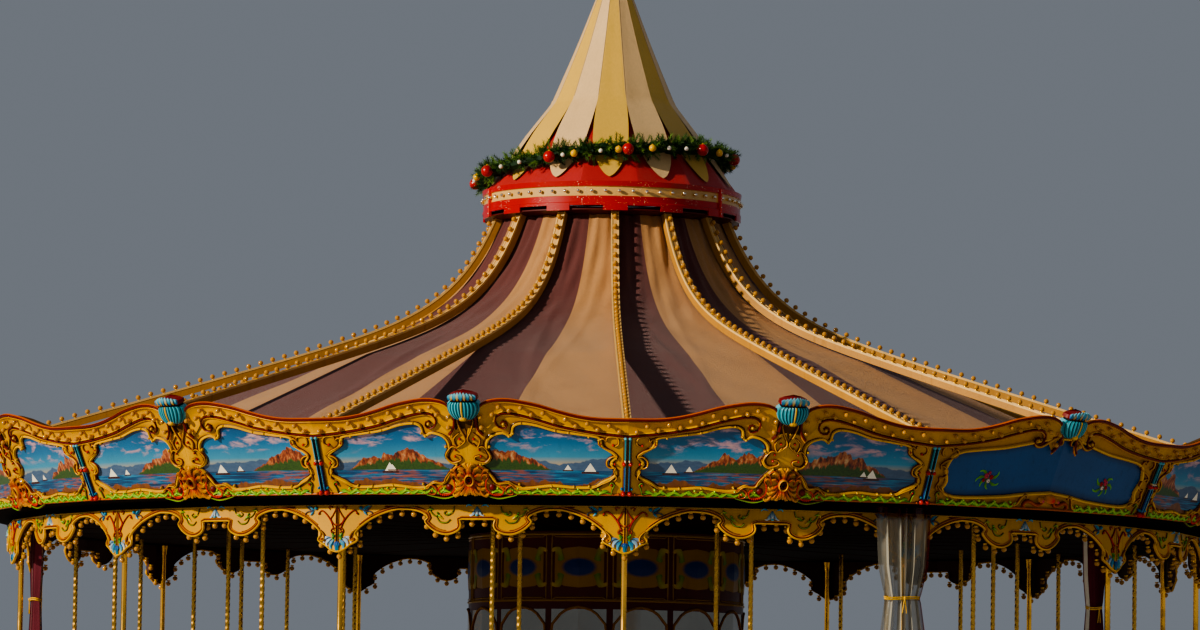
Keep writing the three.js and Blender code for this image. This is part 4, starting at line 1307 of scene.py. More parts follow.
def canopy(dark, light, hang):
    """The top as one sheet over fourteen bays. Its depth under the ribs grows along the straight
    part. Between two ribs (share f) it sags as sin(pi f), and fine folds run from the crown and
    slantwise over the cloth, all of them nothing at the ribs."""
    rows = 76
    share = np.linspace(0, 1, rows)[:, None]
    radius = mix(RIB_START, CANVAS_EDGE, share**1.25)
    halves = np.linspace(0.0002, 0.4998, 19)
    columns = np.concatenate([halves, 0.5 + halves])
    bay = np.repeat(np.arange(BAYS), len(columns))[None, :]
    f = np.tile(columns, BAYS)[None, :]
    angle = (bay + f) * BAY
    depth = RIB_DEPTH + 0.016 + 0.115 * np.maximum(0, radius - 2.9)
    reach = (radius - RIB_START) / (CANVAS_EDGE - RIB_START)
    hump = np.sin(math.pi * f)
    sag = hang * np.sin(math.pi * reach) * hump
    twist = np.sin(2.1 * bay + 0.7)
    ripple = np.sin(TURN * (3.5 * f + 9.0 * reach + twist))
    ripple = ripple * np.sin(TURN * (1.3 * f - 4.0 * reach + 2 * twist))
    folds = 0.017 * ripple * np.exp(-(reach / 0.16) ** 2) * np.abs(np.sin(TURN * f)) ** 0.5
    slanting = np.sin(TURN * (3.2 * f - 5.0 * reach + twist))
    folds = folds + 0.004 * slanting * hump * smooth_step(0.05, 0.3, reach)
    for slant, foot, depth_of in ((0.55, 0.22, 0.012), (-0.45, 0.8, 0.008)):
        crease = f - foot - slant * reach + 0.12 * twist
        folds = folds - depth_of * np.exp(-(crease / 0.03) ** 2) * hump * (0.55 + 0.45 * twist)
    r, z = under_rib(radius + 0 * f, depth + sag + folds)
    z = np.minimum(z, CROWN_FLOOR)
    hem_share = np.linspace(0.12, 1, 8)[:, None]
    hem_r = mix(r[-1], HEM_RADIUS, hem_share) + 0.006 * np.sin(TURN * 6 * f) * hem_share
    hem_z = mix(z[-1], CORNICE_BASE + 0.002, hem_share)
    r, z = np.concatenate([r, hem_r]), np.concatenate([z, hem_z])
    points = polar(r, angle, z)[::-1]
    stripe = (f >= 0.5)[..., None]
    tone = np.where(stripe, light, dark)
    run = run_length(stacked(r[:, 0], z[:, 0]))[:, None]
    place = stacked(angle * 4.0, run)[::-1]
    cloth_patch = grid(points, tone, around=True, place=place)
    top = piece("striped_top", cloth_patch, finishes("top_canvas"), stands_for=["canopy"])


def strip_box(centre, half, tops, sides):
    """A bar with a flat top of its own colour: centre runs along it as (top, under) points, and
    half is the vector from its middle line to its right edge."""
    top, under = centre
    corners = [top - half, top + half, under + half, under - half]
    runs = [np.stack([corners[i], corners[(i + 1) % 4]], 1) for i in range(4)]
    return joined([grid(run[::-1], paint) for run, paint in zip(runs, (tops, sides, sides, sides))])


def ribs(lamp_radius):
    """Fourteen ribs with their lamps, the lip along their edges and the crown's floor."""
    radius = mix(RIB_START, RIB_END, np.linspace(0, 1, 40) ** 1.4)
    length = run_length(stacked(radius, rib_height(radius)))
    gaps = np.linspace(0.107, 0.129, 50)
    stops = 0.08 + np.concatenate([[0], np.cumsum(gaps)])
    stops = stops[stops < length[-1] - 0.12]
    lamp_r = np.interp(stops, length, radius)
    parts, seats, outs = [], [], []
    for k in range(BAYS):
        angle = k * BAY
        half = np.array([math.cos(angle), math.sin(angle), 0])
        top = polar(radius, angle, rib_height(radius))
        r, z = under_rib(radius, RIB_DEPTH)
        under = polar(r, angle, z)
        # The rib's sides are brown and darker than its cream top: painted shade on the sides
        parts.append(strip_box((top, under), half * RIB_HALF, STRIP_CREAM, colour("#b27f33")))
        up = unit(top - under)
        for side in (-1, 1):
            lip = top + half * side * (RIB_HALF - 0.003)
            parts.append(strip_box((lip + up * 0.006, lip - up * 0.012), half * 0.006, CREAM, CREAM))
        r1, z1 = under_rib(lamp_r, -0.001)
        r2, z2 = under_rib(lamp_r, -0.101)
        seats.append(polar(r1, angle, z1))
        outs.append(polar(r2, angle, z2) - polar(r1, angle, z1))
    # The hub is a deep, dark red: painted shade under the crown's drum
    hub = turned([(0.02, 5.902), (0.25, 5.902), (0.25, CROWN_FLOOR), (1.04, CROWN_FLOOR), (1.2, 6.376),
                  (1.2, 6.388), (1.12, 6.388), (1.1, 6.37), (0.02, 6.37)], 2 * FACES, DARK_RED * 0.5)
    parts.append(hub)
    piece("light_ribs_fine", joined(parts), finishes("rib_enamel"),
          stands_for=["light_ribs"])
    lamp_piece("rib_lamps", seats, outs, 0.96 * lamp_radius)


# Crown. Its cloth stands turned a little against the boards, as on the real ride.
CROWN_TWIST = -0.05
SKIRT_LINE = np.array([(1.195, 6.642), (0.812, 7.15), (0.572, 7.47), (0.366, 7.98)])
SPIRE_LINE = np.array([(1.166, 6.69), (1.13, 6.745), (0.825, 7.18), (0.59, 7.48), (0.362, 8.02),
                       (0.18, 8.49), (0.06, 8.798)])
PETAL = np.array([(6.69, 0.0), (6.705, 0.12), (6.73, 0.22), (6.765, 0.33), (6.84, 0.52), (6.92, 0.66),
                  (7.06, 0.82), (7.25, 0.93), (7.43, 1.0), (7.52, 1.0)])
STRIP_HOLLOW = 0.028
GARLAND_STAND = 0.066
SPLICES = (-1.246, 0.95, 2.7, -2.6)
STRIPS = np.stack([colour("#d3a840"), colour("#dcb67f")])


def crown_drum():
    """Red drum with a pale strip of small lamps, splice plates and a lower edge cut into teeth."""
    profile = [(1.19, 6.416), (1.222, 6.416), (1.222, 6.44), (1.214, 6.446), (1.214, 6.502), (1.206, 6.508),
               (1.206, 6.588), (1.22, 6.594), (1.226, 6.64), (1.18, 6.64), (1.18, 6.42)]
    paints = np.stack([DARK_RED, RED, RED, RED, RED, STRIP_CREAM, STRIP_CREAM, RED, RED, RED, DARK_RED])
    parts = [turned(profile, 4 * FACES, paints)]
    plates = [(k * BAY, 0.21 * BAY, 6.369, 6.44, 1.224, RED) for k in range(BAYS)]
    plates += [(angle, 0.012, 6.372, 6.632, 1.232, SCARLET) for angle in SPLICES]
    for middle, reach, low, high, radius, paint in plates:
        a = middle + np.linspace(-reach, reach, 9)
        ring = [(radius, low), (radius, high), (1.206, high), (1.206, low)]
        parts.append(tube(np.stack([polar(r, a, z) for r, z in ring], 1)[::-1], paint))
    bolts = [polar(1.236, angle, z) for angle in SPLICES for z in (6.4, 6.46, 6.53, 6.6)]
    parts.append(repeated(ball(0.006, 2, 6, IVORY), np.array(bolts)))
    piece("crown_drum_fine", joined(parts), finishes("crown_enamel"),
          stands_for=["crown_drum"])
    a = round_angles(60) + 0.03
    lamp_piece("crown_lamps", [polar(1.207, a, 6.549)], [polar(1.0, a, 0.0)], 0.017, "mirror_glass")


def strip_angles(per_bay):
    """Columns for fourteen strips with their seams over the half bays; at each seam two columns
    lie a hair apart, so that a change of colour stays sharp. Gives angles, places in the strip
    from -1 to 1, and the strips' numbers."""
    across = np.linspace(-0.9995, 0.9995, per_bay)
    strip = np.repeat(np.arange(BAYS), per_bay)
    across = np.tile(across, BAYS)
    return (strip + 0.5 * across) * BAY + CROWN_TWIST, across, strip


def faceted(radius, across):
    """Radius of a taut cloth cone between its seams: full at them and less in the middle."""
    return radius * (1 - STRIP_HOLLOW * np.cos(0.5 * math.pi * across))


def cloth_cone(line, per_bay, rows, paints):
    """A taut cloth cone of fourteen strips over a line of (radius, height)."""
    fine = curve_through(line, rows)
    angle, across, strip = strip_angles(per_bay)
    r = faceted(fine[:, :1], across[None, :])
    place = stacked(angle * 0.8, fine[:, 1:])
    return grid(polar(r, angle, fine[:, 1:]), paints[strip % len(paints)], around=True, place=place)


def crown_skirt():
    """Red cloth cone from the drum up under the petals."""
    piece("crown_skirt_cloth", cloth_cone(SKIRT_LINE, 11, 34, RED[None]), finishes("crown_cloth"),
          stands_for=["crown_skirt"])


def petal(strip):
    """The free end of a strip: a shield whose half width follows PETAL down to its point, and
    which curls off the skirt a little at its tip."""
    z = mix(PETAL[0, 0], PETAL[-1, 0], np.linspace(0, 1, 34)[:, None] ** 1.3)
    across = np.linspace(-1, 1, 11)[None, :] * np.interp(z, *PETAL.T)
    r = np.interp(z, SPIRE_LINE[:, 1], SPIRE_LINE[:, 0])
    r = faceted(r, across) + 0.006 + 0.012 * smooth_step(7.0, 6.69, z)
    angle = (strip + 0.5 * across) * BAY + CROWN_TWIST
    front = polar(r, angle, z)
    back = polar(r - 0.005, angle, z)
    place = stacked(angle * 0.8, z)
    paint = STRIPS[strip % 2]
    # The back is a darker copy of the strip's colour: painted shade on the side turned to the skirt
    return joined([grid(front, paint, place=place), grid(back[:, ::-1], 0.7 * paint, place=place)])


def spire():
    """Fourteen strips that end in petals, with a fine seam between every two."""
    upper = SPIRE_LINE[3:]
    parts = [cloth_cone(upper, 13, 40, STRIPS)] + [petal(k) for k in range(BAYS)]
    fine = curve_through(upper, 20)
    for k in range(BAYS):
        seam = polar(fine[:, 0] * 0.999, (k + 0.5) * BAY + CROWN_TWIST, fine[:, 1])
        parts.append(along_path(seam, 0.003, 5, STRIPS[1] * 0.6))
    piece("spire_petals", joined(parts), finishes("crown_cloth"), stands_for=["spire"])


def finial():
    """Gilt finial: a turned foot, a ribbed ball and a point."""
    line = curve_through([(0.075, 8.802), (0.08, 8.84), (0.045, 8.89), (0.095, 8.95), (0.119, 9.015),
                          (0.095, 9.08), (0.04, 9.13), (0.022, 9.22), (0.006, 9.355)], 44)
    a = round_angles(40)
    ribbed = 1 + 0.05 * np.cos(10 * a) * np.exp(-((line[:, 1:] - 9.015) / 0.06) ** 2)
    points = polar(line[:, :1] * ribbed, a, line[:, 1:])
    piece("gilt_finial", tube(points, GOLD_LIGHT), finishes("gilding"),
          stands_for=["finial"])


def garland_line(angle):
    """Middle of the garland: it lies on the petals, lower on the left than on the right."""
    (low_r, low_z), (high_r, high_z) = SPIRE_LINE[1:3]
    share = 0.78 - 0.18 * np.cos(angle) - 0.24 * np.sin(angle)
    slope = unit(np.array([low_r - high_r, low_z - high_z]))
    radius = mix(high_r, low_r, share) - slope[1] * GARLAND_STAND
    return radius, mix(high_z, low_z, share) + slope[0] * GARLAND_STAND


def garland():
    """Artificial fir: a rope of short sprigs, each a twig with two dozen needles, and baubles."""
    dice = np.random.default_rng(5)
    steps = 168
    a = round_angles(steps)
    radius, height = garland_line(a)
    core = polar(radius, a, height) + 0.012 * dice.standard_normal((steps, 3))
    # The core is nearly black: painted shade deep inside the rope of sprigs
    parts = [along_path(core, 0.056, 7, DEEP_GREEN * 0.2, closed=True)]
    twig = tube(np.stack([np.array([[r * math.cos(t), r * math.sin(t), h] for t in (0, 2.1, 4.2)])
                          for r, h in ((0.004, 0.0), (0.002, 0.092))]), UMBER)
    lean = np.arange(26)
    spin = 2.4 * lean
    ways = stacked(np.cos(spin), np.sin(spin), 0.75 + 0.02 * lean)
    spike = np.array([(0.0028, 0, 0), (-0.0014, 0.0024, 0), (-0.0014, -0.0024, 0), (0, 0, 0.034)])
    needle = Patch(spike, np.zeros((0, 4), int), np.array([(0, 1, 3), (1, 2, 3), (2, 0, 3)]), IVORY)
    spots = stacked(0, 0, 0.008 + 0.0033 * lean)
    sprig = joined([twig, repeated(needle, spots, axes_along(ways, (0.3, 0.2, 1.0)), 1.05 - 0.015 * lean)])
    count = 1250
    seat = dice.integers(0, steps, count)
    origins = mix(core[seat], core[(seat + 1) % steps], dice.random(count)[:, None])
    onward = unit(core[(seat + 1) % steps] - core[seat])
    ways = dice.standard_normal((count, 3)) + polar(0.8, a[seat], 0.35) + 0.5 * onward
    fir = repeated(sprig, origins, axes_along(ways), dice.uniform(0.9, 1.65, count))
    shade = mix(DEEP_GREEN * 0.3, colour("#6f9440"), dice.random((count, 1)) ** 1.6)
    fir.paint = np.repeat(shade, len(sprig.points), axis=0)
    parts.append(fir)
    piece("fir_garland", joined(parts), finishes("fir_needles"), stands_for=["crown_garland"])
    big = np.array([-1.19, -0.53, 0.096, 0.8, 1.45, 2.1, 2.75, -2.9, -2.35, -1.75])
    small = np.array([-1.45, -0.33, 0.02, 0.3, 1.05, 1.75, 2.4, 3.1, -2.6, -2.05])
    berries = np.array([-1.0, -0.8, -0.42, -0.12, 0.45, 0.62, 1.2, 1.9, 2.6, -1.6])
    balls = []
    for angles, size, paint, out in ((big, 0.056, RED, 0.115), (small, 0.034, GOLD_LIGHT, 0.11),
                                     (berries, 0.02, IVORY, 0.11)):
        radius, height = garland_line(angles)
        balls.append(repeated(ball(size, 8, 14, paint), polar(radius + out, angles, height - 0.02)))
        balls.append(repeated(ball(0.2 * size, 3, 7, GOLD),
                              polar(radius + out, angles, height - 0.02 + 0.98 * size)))
    piece("garland_baubles", joined(balls), finishes("crown_enamel"))


# Frame, floors and drum
def dress(node, finish):
    """Gives a node of the frame a better material in its own slots."""
    thing = bpy.data.objects[node]
    for place in thing.material_slots:
        place.material = finish_of(finish)


def ring_frame():
    """Ring beam with its soffit, and the brass posts on their flanges."""
    # The beam is painted near black: painted shade, as it lies in the shadow of the boards
    beam = turned([(5.45, 3.397), (5.582, 3.397), (5.584, 3.47), (5.845, 3.472), (5.845, 3.4985),
                   (5.45, 3.4985)], FACES, INK)
    post = np.array([(0.062, 0.462), (0.062, 0.468), (0.036, 0.474), (0.03, 0.5), (0.0245, 0.512),
                     (0.0245, 1.36), (0.029, 1.366), (0.029, 1.384), (0.0245, 1.39), (0.0245, 3.3),
                     (0.03, 3.31), (0.034, 3.36), (0.04, 3.394)])
    rings = polar(post[:, :1], round_angles(18), post[:, 1:])
    posts = [tube(rings + polar(POST_CIRCLE, k * BAY, 0.0), GOLD, finish=1) for k in range(BAYS)]
    piece("ring_frame_fine", joined([beam, *posts]), finishes("matt_boards", "worn_brass"),
          stands_for=["ring_frame"])


def trim_half(face, low, high, paints, relief):
    """Half a bay of a panelled upright face: mouldings above and below, a framed field and a
    diamond at its middle."""
    width = face_width(face)
    tall = high - low
    middle = (low + high) / 2
    edge = 0.1 * min(width, tall)
    field = [(edge, low + 2 * edge), (edge, high - 2 * edge), (2 * edge, high - edge * 1.3),
             (width, high - edge * 1.3)]
    lower = [(x, low + high - z) for x, z in field]
    parts = [rail(np.linspace((0, z), (width, z), 6), 0.016 * relief, 0.016 * relief, 0.0, paints[0],
                  paints[1]) for z in (low + 0.014 * relief, high - 0.014 * relief)]
    parts += [rail(curve_through(line, 16), 0.008 * relief, 0.012 * relief, 0.0, paints[1], paints[0])
              for line in (field, lower)]
    share = np.linspace(0, 1, 9)[:, None]
    turn = np.linspace(0.5, 1.5, 9)[None, :] * math.pi
    reach = 0.3 * tall * share
    points = stacked(width + 1.9 * reach * np.cos(turn), middle + reach * np.sin(turn),
                     0.004 + 0.01 * (1 - share))
    points[..., 0] = np.maximum(points[..., 0], 0.2 * width)
    parts.append(grid(points, np.where(share[..., None] < 0.5, paints[2], paints[3])).flipped())
    parts += [leaf((0.35 * width, middle), (0.12 * width, middle + s * 0.22 * tall), 0.05 * tall, 0.012,
                   0.002, s * 0.2, s * 0.5, paints[4], DEEP_GREEN, GOLD_LIGHT) for s in (-1, 1)]
    return joined(parts)


def floors():
    """Planked deck, painted fascia, panelled drum, dark ceiling and the steel under the deck."""
    dress("deck", "deck_planks")
    for node in ("base_frame", "centre_mast"):
        dress(node, "frame_steel")
    fascia = [turned([(5.603, 0.082), (FASCIA_FACE, 0.082), (FASCIA_FACE, 0.458), (5.603, 0.458)], FACES,
                     DARK_RED)]
    # The drum's paints, mirror glass and moulding edges are darkened to about half: painted shade inside the
    # ride
    drum = [turned([(1.272, 0.462), (DRUM_FACE, 0.462), (DRUM_FACE, 3.398), (1.272, 3.398)], FACES,
                   0.5 * DARK_RED)]
    fascia_half = trim_half(FASCIA_FACE, 0.085, 0.455, (GOLD, GOLD_LIGHT, SCARLET, GOLD_LIGHT, GREEN), 0.6)
    shade_darkened = [0.55 * paint for paint in (GOLD, GOLD_LIGHT, BLUE, GOLD, GREEN)]
    drum_low = trim_half(DRUM_FACE, 0.48, 1.25, shade_darkened, 0.8)
    drum_high = trim_half(DRUM_FACE, 2.75, 3.38, shade_darkened, 0.8)
    width = face_width(DRUM_FACE)
    glass_x, glass_z = np.meshgrid(np.linspace(0.03, width, 4), np.linspace(1.32, 2.68, 6))
    glass = grid(stacked(glass_x, glass_z, 0.004), 0.45 * IVORY, finish=1)
    arch = [(0.028, 1.3), (0.028, 2.4), (0.075, 2.58), (0.17, 2.67), (width, 2.7)]
    frame_rail = rail(curve_through(arch, 26), 0.013, 0.016, 0.003, shade_darkened[1], 0.5 * ORANGE)
    sill = rail(np.linspace((0.0, 1.3), (width, 1.3), 5), 0.018, 0.018, 0.0, shade_darkened[0], 0.5 * ORANGE)
    for half in range(FACES):
        law = on_face(half, FASCIA_FACE)
        fascia.append(put_on(fascia_half, law, half))
        law = on_face(half, DRUM_FACE)
        drum += [put_on(part, law, half) for part in (drum_low, drum_high, glass, frame_rail, sill)]
    piece("painted_fascia", joined(fascia), finishes("board_paint"),
          stands_for=["deck_fascia"])
    piece("panelled_drum", joined(drum), finishes("board_paint", "mirror_glass"),
          stands_for=["centre_drum"])
    # Ceiling boards run out from the drum; battens cover the joints over ridges and mid bays
    # Boards and battens are near black: dark paint, made darker still as painted shade inside the ride
    ceiling = [turned([(1.0, 3.402), (5.448, 3.402), (5.448, 3.418), (1.0, 3.418)], FACES,
                      colour("#1a0a06"))]
    for i in range(FACES):
        a = i * BAY / 2
        way = np.array([math.cos(a), math.sin(a), 0]) * 0.03
        ends = polar(np.array([1.32, 5.42]), a, 3.404)
        under = ends - [0, 0, 0.006]
        ceiling.append(strip_box((ends, under), way, colour("#2b0f08"), colour("#2b0f08")))
    piece("ceiling_boards", joined(ceiling), finishes("matt_boards"),
          stands_for=["ceiling"])


# Horses. Places are (forward, inwards, up) from the middle of the barrel, in metres.
BARREL_HEIGHT = 1.33
LEG_SIDE = 0.092
MELT_GRAIN, MELT_FACES = 0.011, 3000
POLE_RADIUS, POLE_TURN = 0.0215, 0.36
POLE_FOOT, POLE_HEAD = 0.3, 0.25


def oval_loft(stations, side, sides):
    """Closed loft of ovals along a bent midline, which lies at one side; each station is
    forward, up, half height and half width."""
    fine = curve_through(stations, 3 * len(stations))
    centre = stacked(fine[:, 0], side, fine[:, 1])
    ahead = unit(np.gradient(centre, axis=0))
    across = np.array([0.0, 1.0, 0.0])
    up = unit(np.cross(ahead, across))
    a = round_angles(sides)
    rings = centre[:, None] + (np.cos(a) * fine[:, 3:4])[..., None] * across \
        + (np.sin(a) * fine[:, 2:3])[..., None] * up[:, None, :] * -1
    return tube(rings, IVORY)


def remeshed(patches, grain, target):
    """Closed patches melted into one skin by a voxel remesh, smoothed and thinned."""
    body = joined(patches)
    thing = piece("melting", body, [])
    remesh = thing.modifiers.new("melt", "REMESH")
    remesh.mode = "VOXEL"
    remesh.voxel_size = grain
    smooth = thing.modifiers.new("soften", "SMOOTH")
    smooth.factor, smooth.iterations = 0.6, 5
    thin = thing.modifiers.new("thin", "DECIMATE")
    graph = bpy.context.evaluated_depsgraph_get()
    count = len(thing.evaluated_get(graph).data.polygons)
    thin.ratio = min(1.0, target / count)
    graph = bpy.context.evaluated_depsgraph_get()
    made = thing.evaluated_get(graph).data
    made.calc_loop_triangles()
    points = np.empty(len(made.vertices) * 3, np.float32)
    made.vertices.foreach_get("co", points)
    tris = np.empty(len(made.loop_triangles) * 3, np.int32)
    made.loop_triangles.foreach_get("vertices", tris)
    bpy.data.objects.remove(thing)
    return Patch(points.reshape(-1, 3).astype(float), np.zeros((0, 4), int),
                 tris.reshape(-1, 3).astype(int), IVORY)


# Stations: forward, up, half height and half width
TRUNK = np.array([(-0.62, 0.07, 0.04, 0.04), (-0.57, 0.06, 0.14, 0.11), (-0.43, 0.03, 0.2, 0.155),
                  (-0.25, 0.005, 0.185, 0.15), (-0.05, -0.015, 0.172, 0.148), (0.15, -0.015, 0.186, 0.155),
                  (0.32, 0.025, 0.195, 0.145), (0.42, 0.09, 0.155, 0.112), (0.475, 0.15, 0.08, 0.07)])
NECK = [(0.3, 0.1, 0.17, 0.1), (0.41, 0.26, 0.145, 0.075), (0.48, 0.4, 0.115, 0.06), (0.53, 0.53, 0.09, 0.05),
        (0.565, 0.63, 0.06, 0.044)]
HEAD = [(0.5, 0.665, 0.05, 0.045), (0.565, 0.625, 0.088, 0.056), (0.66, 0.56, 0.082, 0.052),
        (0.75, 0.495, 0.056, 0.04), (0.825, 0.445, 0.048, 0.038), (0.87, 0.415, 0.03, 0.026)]
# Each leg: its side, and its stations
LEGS = [
    (-1, [(0.32, -0.02, 0.11, 0.055), (0.43, -0.15, 0.078, 0.05), (0.56, -0.25, 0.052, 0.04),
          (0.645, -0.305, 0.042, 0.036), (0.635, -0.385, 0.028, 0.026), (0.59, -0.45, 0.033, 0.029),
          (0.562, -0.492, 0.036, 0.034), (0.553, -0.512, 0.034, 0.032)]),
    (1, [(0.32, -0.02, 0.11, 0.055), (0.46, -0.11, 0.078, 0.05), (0.61, -0.17, 0.052, 0.04),
         (0.7, -0.2, 0.042, 0.036), (0.735, -0.28, 0.028, 0.026), (0.742, -0.35, 0.033, 0.029),
         (0.758, -0.4, 0.037, 0.034), (0.766, -0.424, 0.034, 0.032)]),
    (-1, [(-0.4, 0.0, 0.16, 0.07), (-0.41, -0.16, 0.115, 0.065), (-0.5, -0.29, 0.062, 0.044),
          (-0.57, -0.35, 0.046, 0.036), (-0.6, -0.43, 0.03, 0.027), (-0.65, -0.49, 0.034, 0.029),
          (-0.685, -0.535, 0.038, 0.034), (-0.7, -0.556, 0.035, 0.032)]),
    (1, [(-0.4, 0.0, 0.16, 0.07), (-0.36, -0.18, 0.115, 0.065), (-0.42, -0.31, 0.062, 0.044),
         (-0.485, -0.385, 0.046, 0.036), (-0.488, -0.47, 0.03, 0.027), (-0.5, -0.545, 0.034, 0.029),
         (-0.52, -0.595, 0.038, 0.034), (-0.528, -0.618, 0.035, 0.032)]),
]


def trunk_ring(x, spread, lift):
    """A place on the trunk's skin: forward x, turned by spread half turns from the top."""
    z, high, wide = (np.interp(x, TRUNK[:, 0], TRUNK[:, i]) for i in (1, 2, 3))
    turn = math.pi * spread
    return stacked(x, -(wide + lift) * np.sin(turn), z + (high + lift) * np.cos(turn))


def saddlery():
    """Saddle, cloth, girth, breast strap, bridle and reins of one horse."""
    x = np.linspace(-0.26, 0.17, 15)[:, None]
    spread = np.linspace(-0.44, 0.44, 19)[None, :]
    long = (x + 0.26) / 0.43
    hang = spread * (0.75 + 0.25 * np.sin(math.pi * long))
    cloth_skin = trunk_ring(x, hang, 0.01)
    rim = np.maximum(np.abs(2 * long - 1), np.abs(spread) / 0.44)
    blanket = grid(cloth_skin, mix(BLUE, GOLD_LIGHT, smooth_step(0.84, 0.9, rim)[..., None]))
    x = np.linspace(-0.21, 0.13, 13)[:, None]
    spread = np.linspace(-0.3, 0.3, 17)[None, :]
    long = (x + 0.21) / 0.34
    top = np.exp(-(spread / 0.17) ** 2)
    lift = 0.02 + 0.075 * np.exp(-(long / 0.16) ** 2) * top + 0.06 * np.exp(-((1 - long) / 0.1) ** 2) * top
    rim = np.maximum(np.abs(2 * long - 1), np.abs(spread) / 0.3)
    seat = grid(trunk_ring(x, spread * (0.8 + 0.2 * np.sin(math.pi * long)), lift),
                mix(RED, GOLD, smooth_step(0.86, 0.95, rim)[..., None]))
    turn = np.linspace(0, 2, 33)[:-1]
    girth = along_path(trunk_ring(0.06, turn, 0.012), 0.012, 6, DARK_RED, closed=True)
    parts = [blanket, seat, girth]
    breast = [(0.1, 0.158, 0.04), (0.3, 0.158, 0.02), (0.45, 0.095, 0.06), (0.51, 0.02, 0.09)]
    crupper = [(-0.22, 0.12, 0.13), (-0.42, 0.12, 0.18), (-0.6, 0.04, 0.15)]
    rein = [(0.795, 0.05, 0.455), (0.6, 0.085, 0.42), (0.36, 0.085, 0.36), (0.12, 0.03, 0.245)]
    leather = [(0.0, 0.172, 0.05), (0.01, 0.178, -0.1), (0.02, 0.172, -0.21)]
    ear = [(0.505, 0.03, 0.7), (0.5, 0.04, 0.755), (0.52, 0.036, 0.795)]
    ear_widths = [0.018, 0.024, 0.025, 0.022, 0.017, 0.01, 0.003]
    turn = round_angles(14)
    for side in (-1, 1):
        for line, steps, size, paint in ((breast, 14, 0.01, GOLD_LIGHT), (crupper, 10, 0.008, GOLD_LIGHT),
                                         (rein, 18, 0.006, DARK_RED), (leather, 8, 0.006, DARK_RED)):
            parts.append(along_path(curve_through(line * np.array([1, side, 1]), steps), size, 5, paint))
        iron = stacked(0.02 + 0.042 * np.cos(turn), side * 0.172, -0.255 + 0.048 * np.sin(turn))
        parts.append(along_path(iron, 0.005, 5, GOLD_LIGHT, closed=True))
        parts.append(repeated(ball(0.011, 4, 8, INK), np.array([(0.6, side * 0.052, 0.622)])))
        parts.append(along_path(curve_through(ear * np.array([1, side, 1]), 7), np.array(ear_widths), 7,
                                IVORY))
    turn = round_angles(20)
    for x, z, high, wide, tilt in ((0.805, 0.462, 0.056, 0.044, 0.62), (0.665, 0.56, 0.094, 0.06, 0.62),
                                   (0.535, 0.64, 0.1, 0.062, 0.9)):
        loop = stacked(x + high * np.cos(turn) * math.sin(tilt), wide * np.sin(turn),
                       z + high * np.cos(turn) * math.cos(tilt))
        parts.append(along_path(loop, 0.007, 5, DARK_RED, closed=True))
    return joined(parts)


def hair():
    """Carved locks of the mane and the tail: bent tapering bars with a twist."""
    dice = np.random.default_rng(3)
    parts = []
    crest = curve_through([(0.16, 0.165), (0.27, 0.3), (0.365, 0.44), (0.425, 0.57), (0.475, 0.685),
                           (0.53, 0.735)], 13)
    for i, (x, z) in enumerate(crest):
        for side in (-1, 1):
            drop = 0.15 + 0.03 * dice.random()
            lock = curve_through([(x, side * 0.008, z), (x - 0.03, side * 0.062, z - 0.02),
                                  (x - 0.05, side * 0.078, z - 0.5 * drop),
                                  (x - 0.1, side * 0.072, z - drop)], 9)
            width = 0.03 * np.array([0.5, 0.9, 1.1, 1.15, 1.1, 1.0, 0.8, 0.5, 0.12])
            parts.append(along_path(lock, width, 6, GOLD_LIGHT, flat=0.7))
    forelock = curve_through([(0.52, 0.0, 0.725), (0.585, 0.0, 0.72), (0.635, 0.0, 0.655)], 8)
    width = 0.026 * np.array([0.7, 1.1, 1.2, 1.15, 1.0, 0.8, 0.5, 0.15])
    parts.append(along_path(forelock, width, 7, GOLD_LIGHT, flat=0.6))
    width = 0.024 * np.concatenate([np.linspace(0.7, 1.1, 6), np.linspace(1.1, 0.12, 8)])
    for i in range(9):
        spread = (i - 4) / 4
        path = curve_through([(-0.59, 0.012 * spread, 0.135), (-0.66, 0.035 * spread, 0.1),
                              (-0.7, 0.055 * spread, -0.05 - 0.03 * abs(spread)),
                              (-0.73 - 0.02 * spread**2, 0.05 * spread, -0.19),
                              (-0.8 + 0.05 * abs(spread), 0.03 * spread, -0.275 + 0.03 * abs(spread))], 14)
        parts.append(along_path(path, width, 6, GOLD_LIGHT, flat=0.8))
    return joined(parts)


def horse_paint(points):
    """Coat of a galloper: ivory with dapples on the quarters, dark hooves, a flushed muzzle."""
    x, y, z = points.T
    spots = np.sin(46 * x + 3 * np.sin(21 * z)) * np.sin(41 * z + 2 * np.cos(27 * y)) * np.cos(37 * y)
    flank = np.exp(-((x + 0.42) / 0.22) ** 2) * smooth_step(-0.25, 0.0, z)
    paint = mix(IVORY, colour("#9a948b"), (smooth_step(0.15, 0.5, spots) * 0.8 * flank)[:, None])
    paint = mix(paint, PINK, (0.35 * smooth_step(0.8, 0.88, x))[:, None])
    hoof = np.zeros(len(points))
    for _, stations in LEGS:
        end = np.array(stations[-1])
        hoof = np.maximum(hoof, smooth_step(0.075, 0.055, np.hypot(x - end[0], z - end[1])))
    return mix(paint, INK, hoof[:, None])


def horse():
    """One galloper without its pole: the melted body, the saddlery and the hair."""
    body = remeshed([oval_loft(TRUNK, 0.0, 22), oval_loft(NECK, 0.0, 18), oval_loft(HEAD, 0.0, 18)]
                    + [oval_loft(stations, way * LEG_SIDE, 14) for way, stations in LEGS],
                    MELT_GRAIN, MELT_FACES)
    body.paint = horse_paint(body.points)
    return joined([body, saddlery(), hair()])


